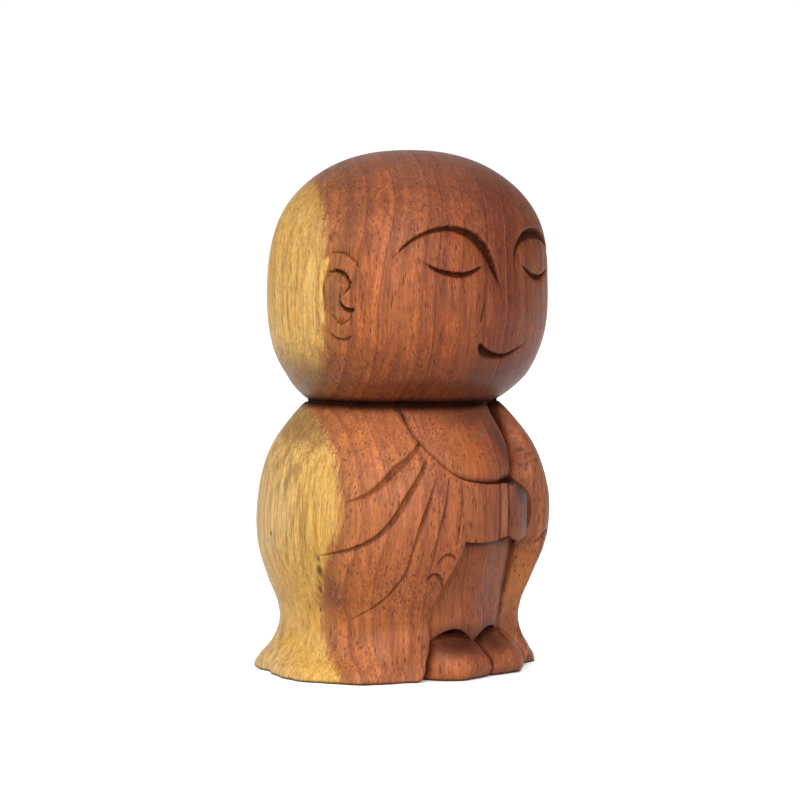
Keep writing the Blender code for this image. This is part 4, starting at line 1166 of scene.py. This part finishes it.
def around(degrees, distance, height):
    """A place at an angle about the figure, by the photograph's convention."""
    t = math.radians(degrees)
    return (distance * math.sin(t), -distance * math.cos(t), height)


def turned(obj, at, aim):
    from mathutils import Vector
    obj.location = at
    obj.rotation_euler = (Vector(aim) - Vector(at)).to_track_quat("-Z", "Y").to_euler()
    bpy.context.scene.collection.objects.link(obj)
    return obj


def soft_light(name, at, aim, size, power, colour=(1, 1, 1)):
    data = bpy.data.lights.new(name, "AREA")
    data.shape = "RECTANGLE"
    data.size, data.size_y = size
    data.energy = power
    data.color = colour
    return turned(bpy.data.objects.new(name, data), at, aim)


floor = make_floor()
soft_light("key", around(-56, 1.15, 0.58), (0, 0, 0.08), (0.9, 0.9), 11.5)
soft_light("left", around(-122, 1.15, 0.40), (0, 0, 0.08), (0.9, 0.9), 5.2)
soft_light("fill", around(-2, 1.3, 0.40), (0, 0, 0.08), (0.7, 0.7), 4.2)

# a wide lamp from above that lights only the table, so it goes white up to the base
wash = bpy.data.lights.new("table_wash", "SUN")
wash.energy = 4.4
wash.angle = math.radians(100.0)
wash_obj = turned(bpy.data.objects.new("table_wash", wash), (0, 0, 2.0), (0.0, 0.0, 0.0))
only_floor = bpy.data.collections.new("table_only")
only_floor.objects.link(floor)
wash_obj.light_linking.receiver_collection = only_floor

# studio walls: a white sheet behind the figure, dim elsewhere, dark below
world = bpy.data.worlds.new("studio")
bpy.context.scene.world = world
world.use_nodes = True
tree = world.node_tree
way = tree.nodes.new("ShaderNodeTexCoord").outputs["Generated"]


def world_node(kind, inputs, **settings):
    n = tree.nodes.new(kind)
    for key, value in settings.items():
        setattr(n, key, value)
    for key, value in inputs.items():
        if isinstance(value, bpy.types.NodeSocket):
            tree.links.new(value, n.inputs[key])
        else:
            n.inputs[key].default_value = value
    return n


def sheet(azimuth, elevation, near, far):
    a, e = math.radians(azimuth), math.radians(elevation)
    to = (math.sin(a) * math.cos(e), -math.cos(a) * math.cos(e), math.sin(e))
    d = world_node("ShaderNodeVectorMath", {0: way, 1: to}, operation="DOT_PRODUCT").outputs["Value"]
    return world_node("ShaderNodeMapRange", {"Value": d, "From Min": math.cos(math.radians(far)),
                                             "From Max": math.cos(math.radians(near)), "To Min": 0.0,
                                             "To Max": 1.0}, interpolation_type="SMOOTHSTEP").outputs["Result"]


split = world_node("ShaderNodeSeparateXYZ", {0: way})
upper = world_node("ShaderNodeMapRange", {"Value": split.outputs[2], "From Min": -0.25, "From Max": 0.15,
                                          "To Min": 0.02, "To Max": 0.15}).outputs["Result"]
back = sheet(134.0, 7.0, 15.0, 36.0)
level = world_node("ShaderNodeMix", {0: back, 2: upper, 3: 1.04}, data_type="FLOAT").outputs[0]
tree.links.new(level, tree.nodes["Background"].inputs[1])
tree.nodes["Background"].inputs[0].default_value = (1, 1, 1, 1)

PHI, EYE, DISTANCE, DOWN = 46.0, 0.1164, 0.7587, 2.93
camera_data = bpy.data.cameras.new("camera")
camera_data.sensor_width = 36.0
camera_data.lens = 36.0 * 2608.0 / 800.0
camera_data.clip_start = 0.05
camera = bpy.data.objects.new("camera", camera_data)
bpy.context.scene.collection.objects.link(camera)
a = math.radians(PHI)
camera.location = (-DISTANCE * math.sin(a), -DISTANCE * math.cos(a) + SHIFT_Y * MM, EYE)
camera.rotation_euler = (math.radians(90 - DOWN), 0, -a)
bpy.context.scene.camera = camera
bpy.context.scene.view_settings.view_transform = "Standard"
bpy.context.scene.view_settings.look = "None"

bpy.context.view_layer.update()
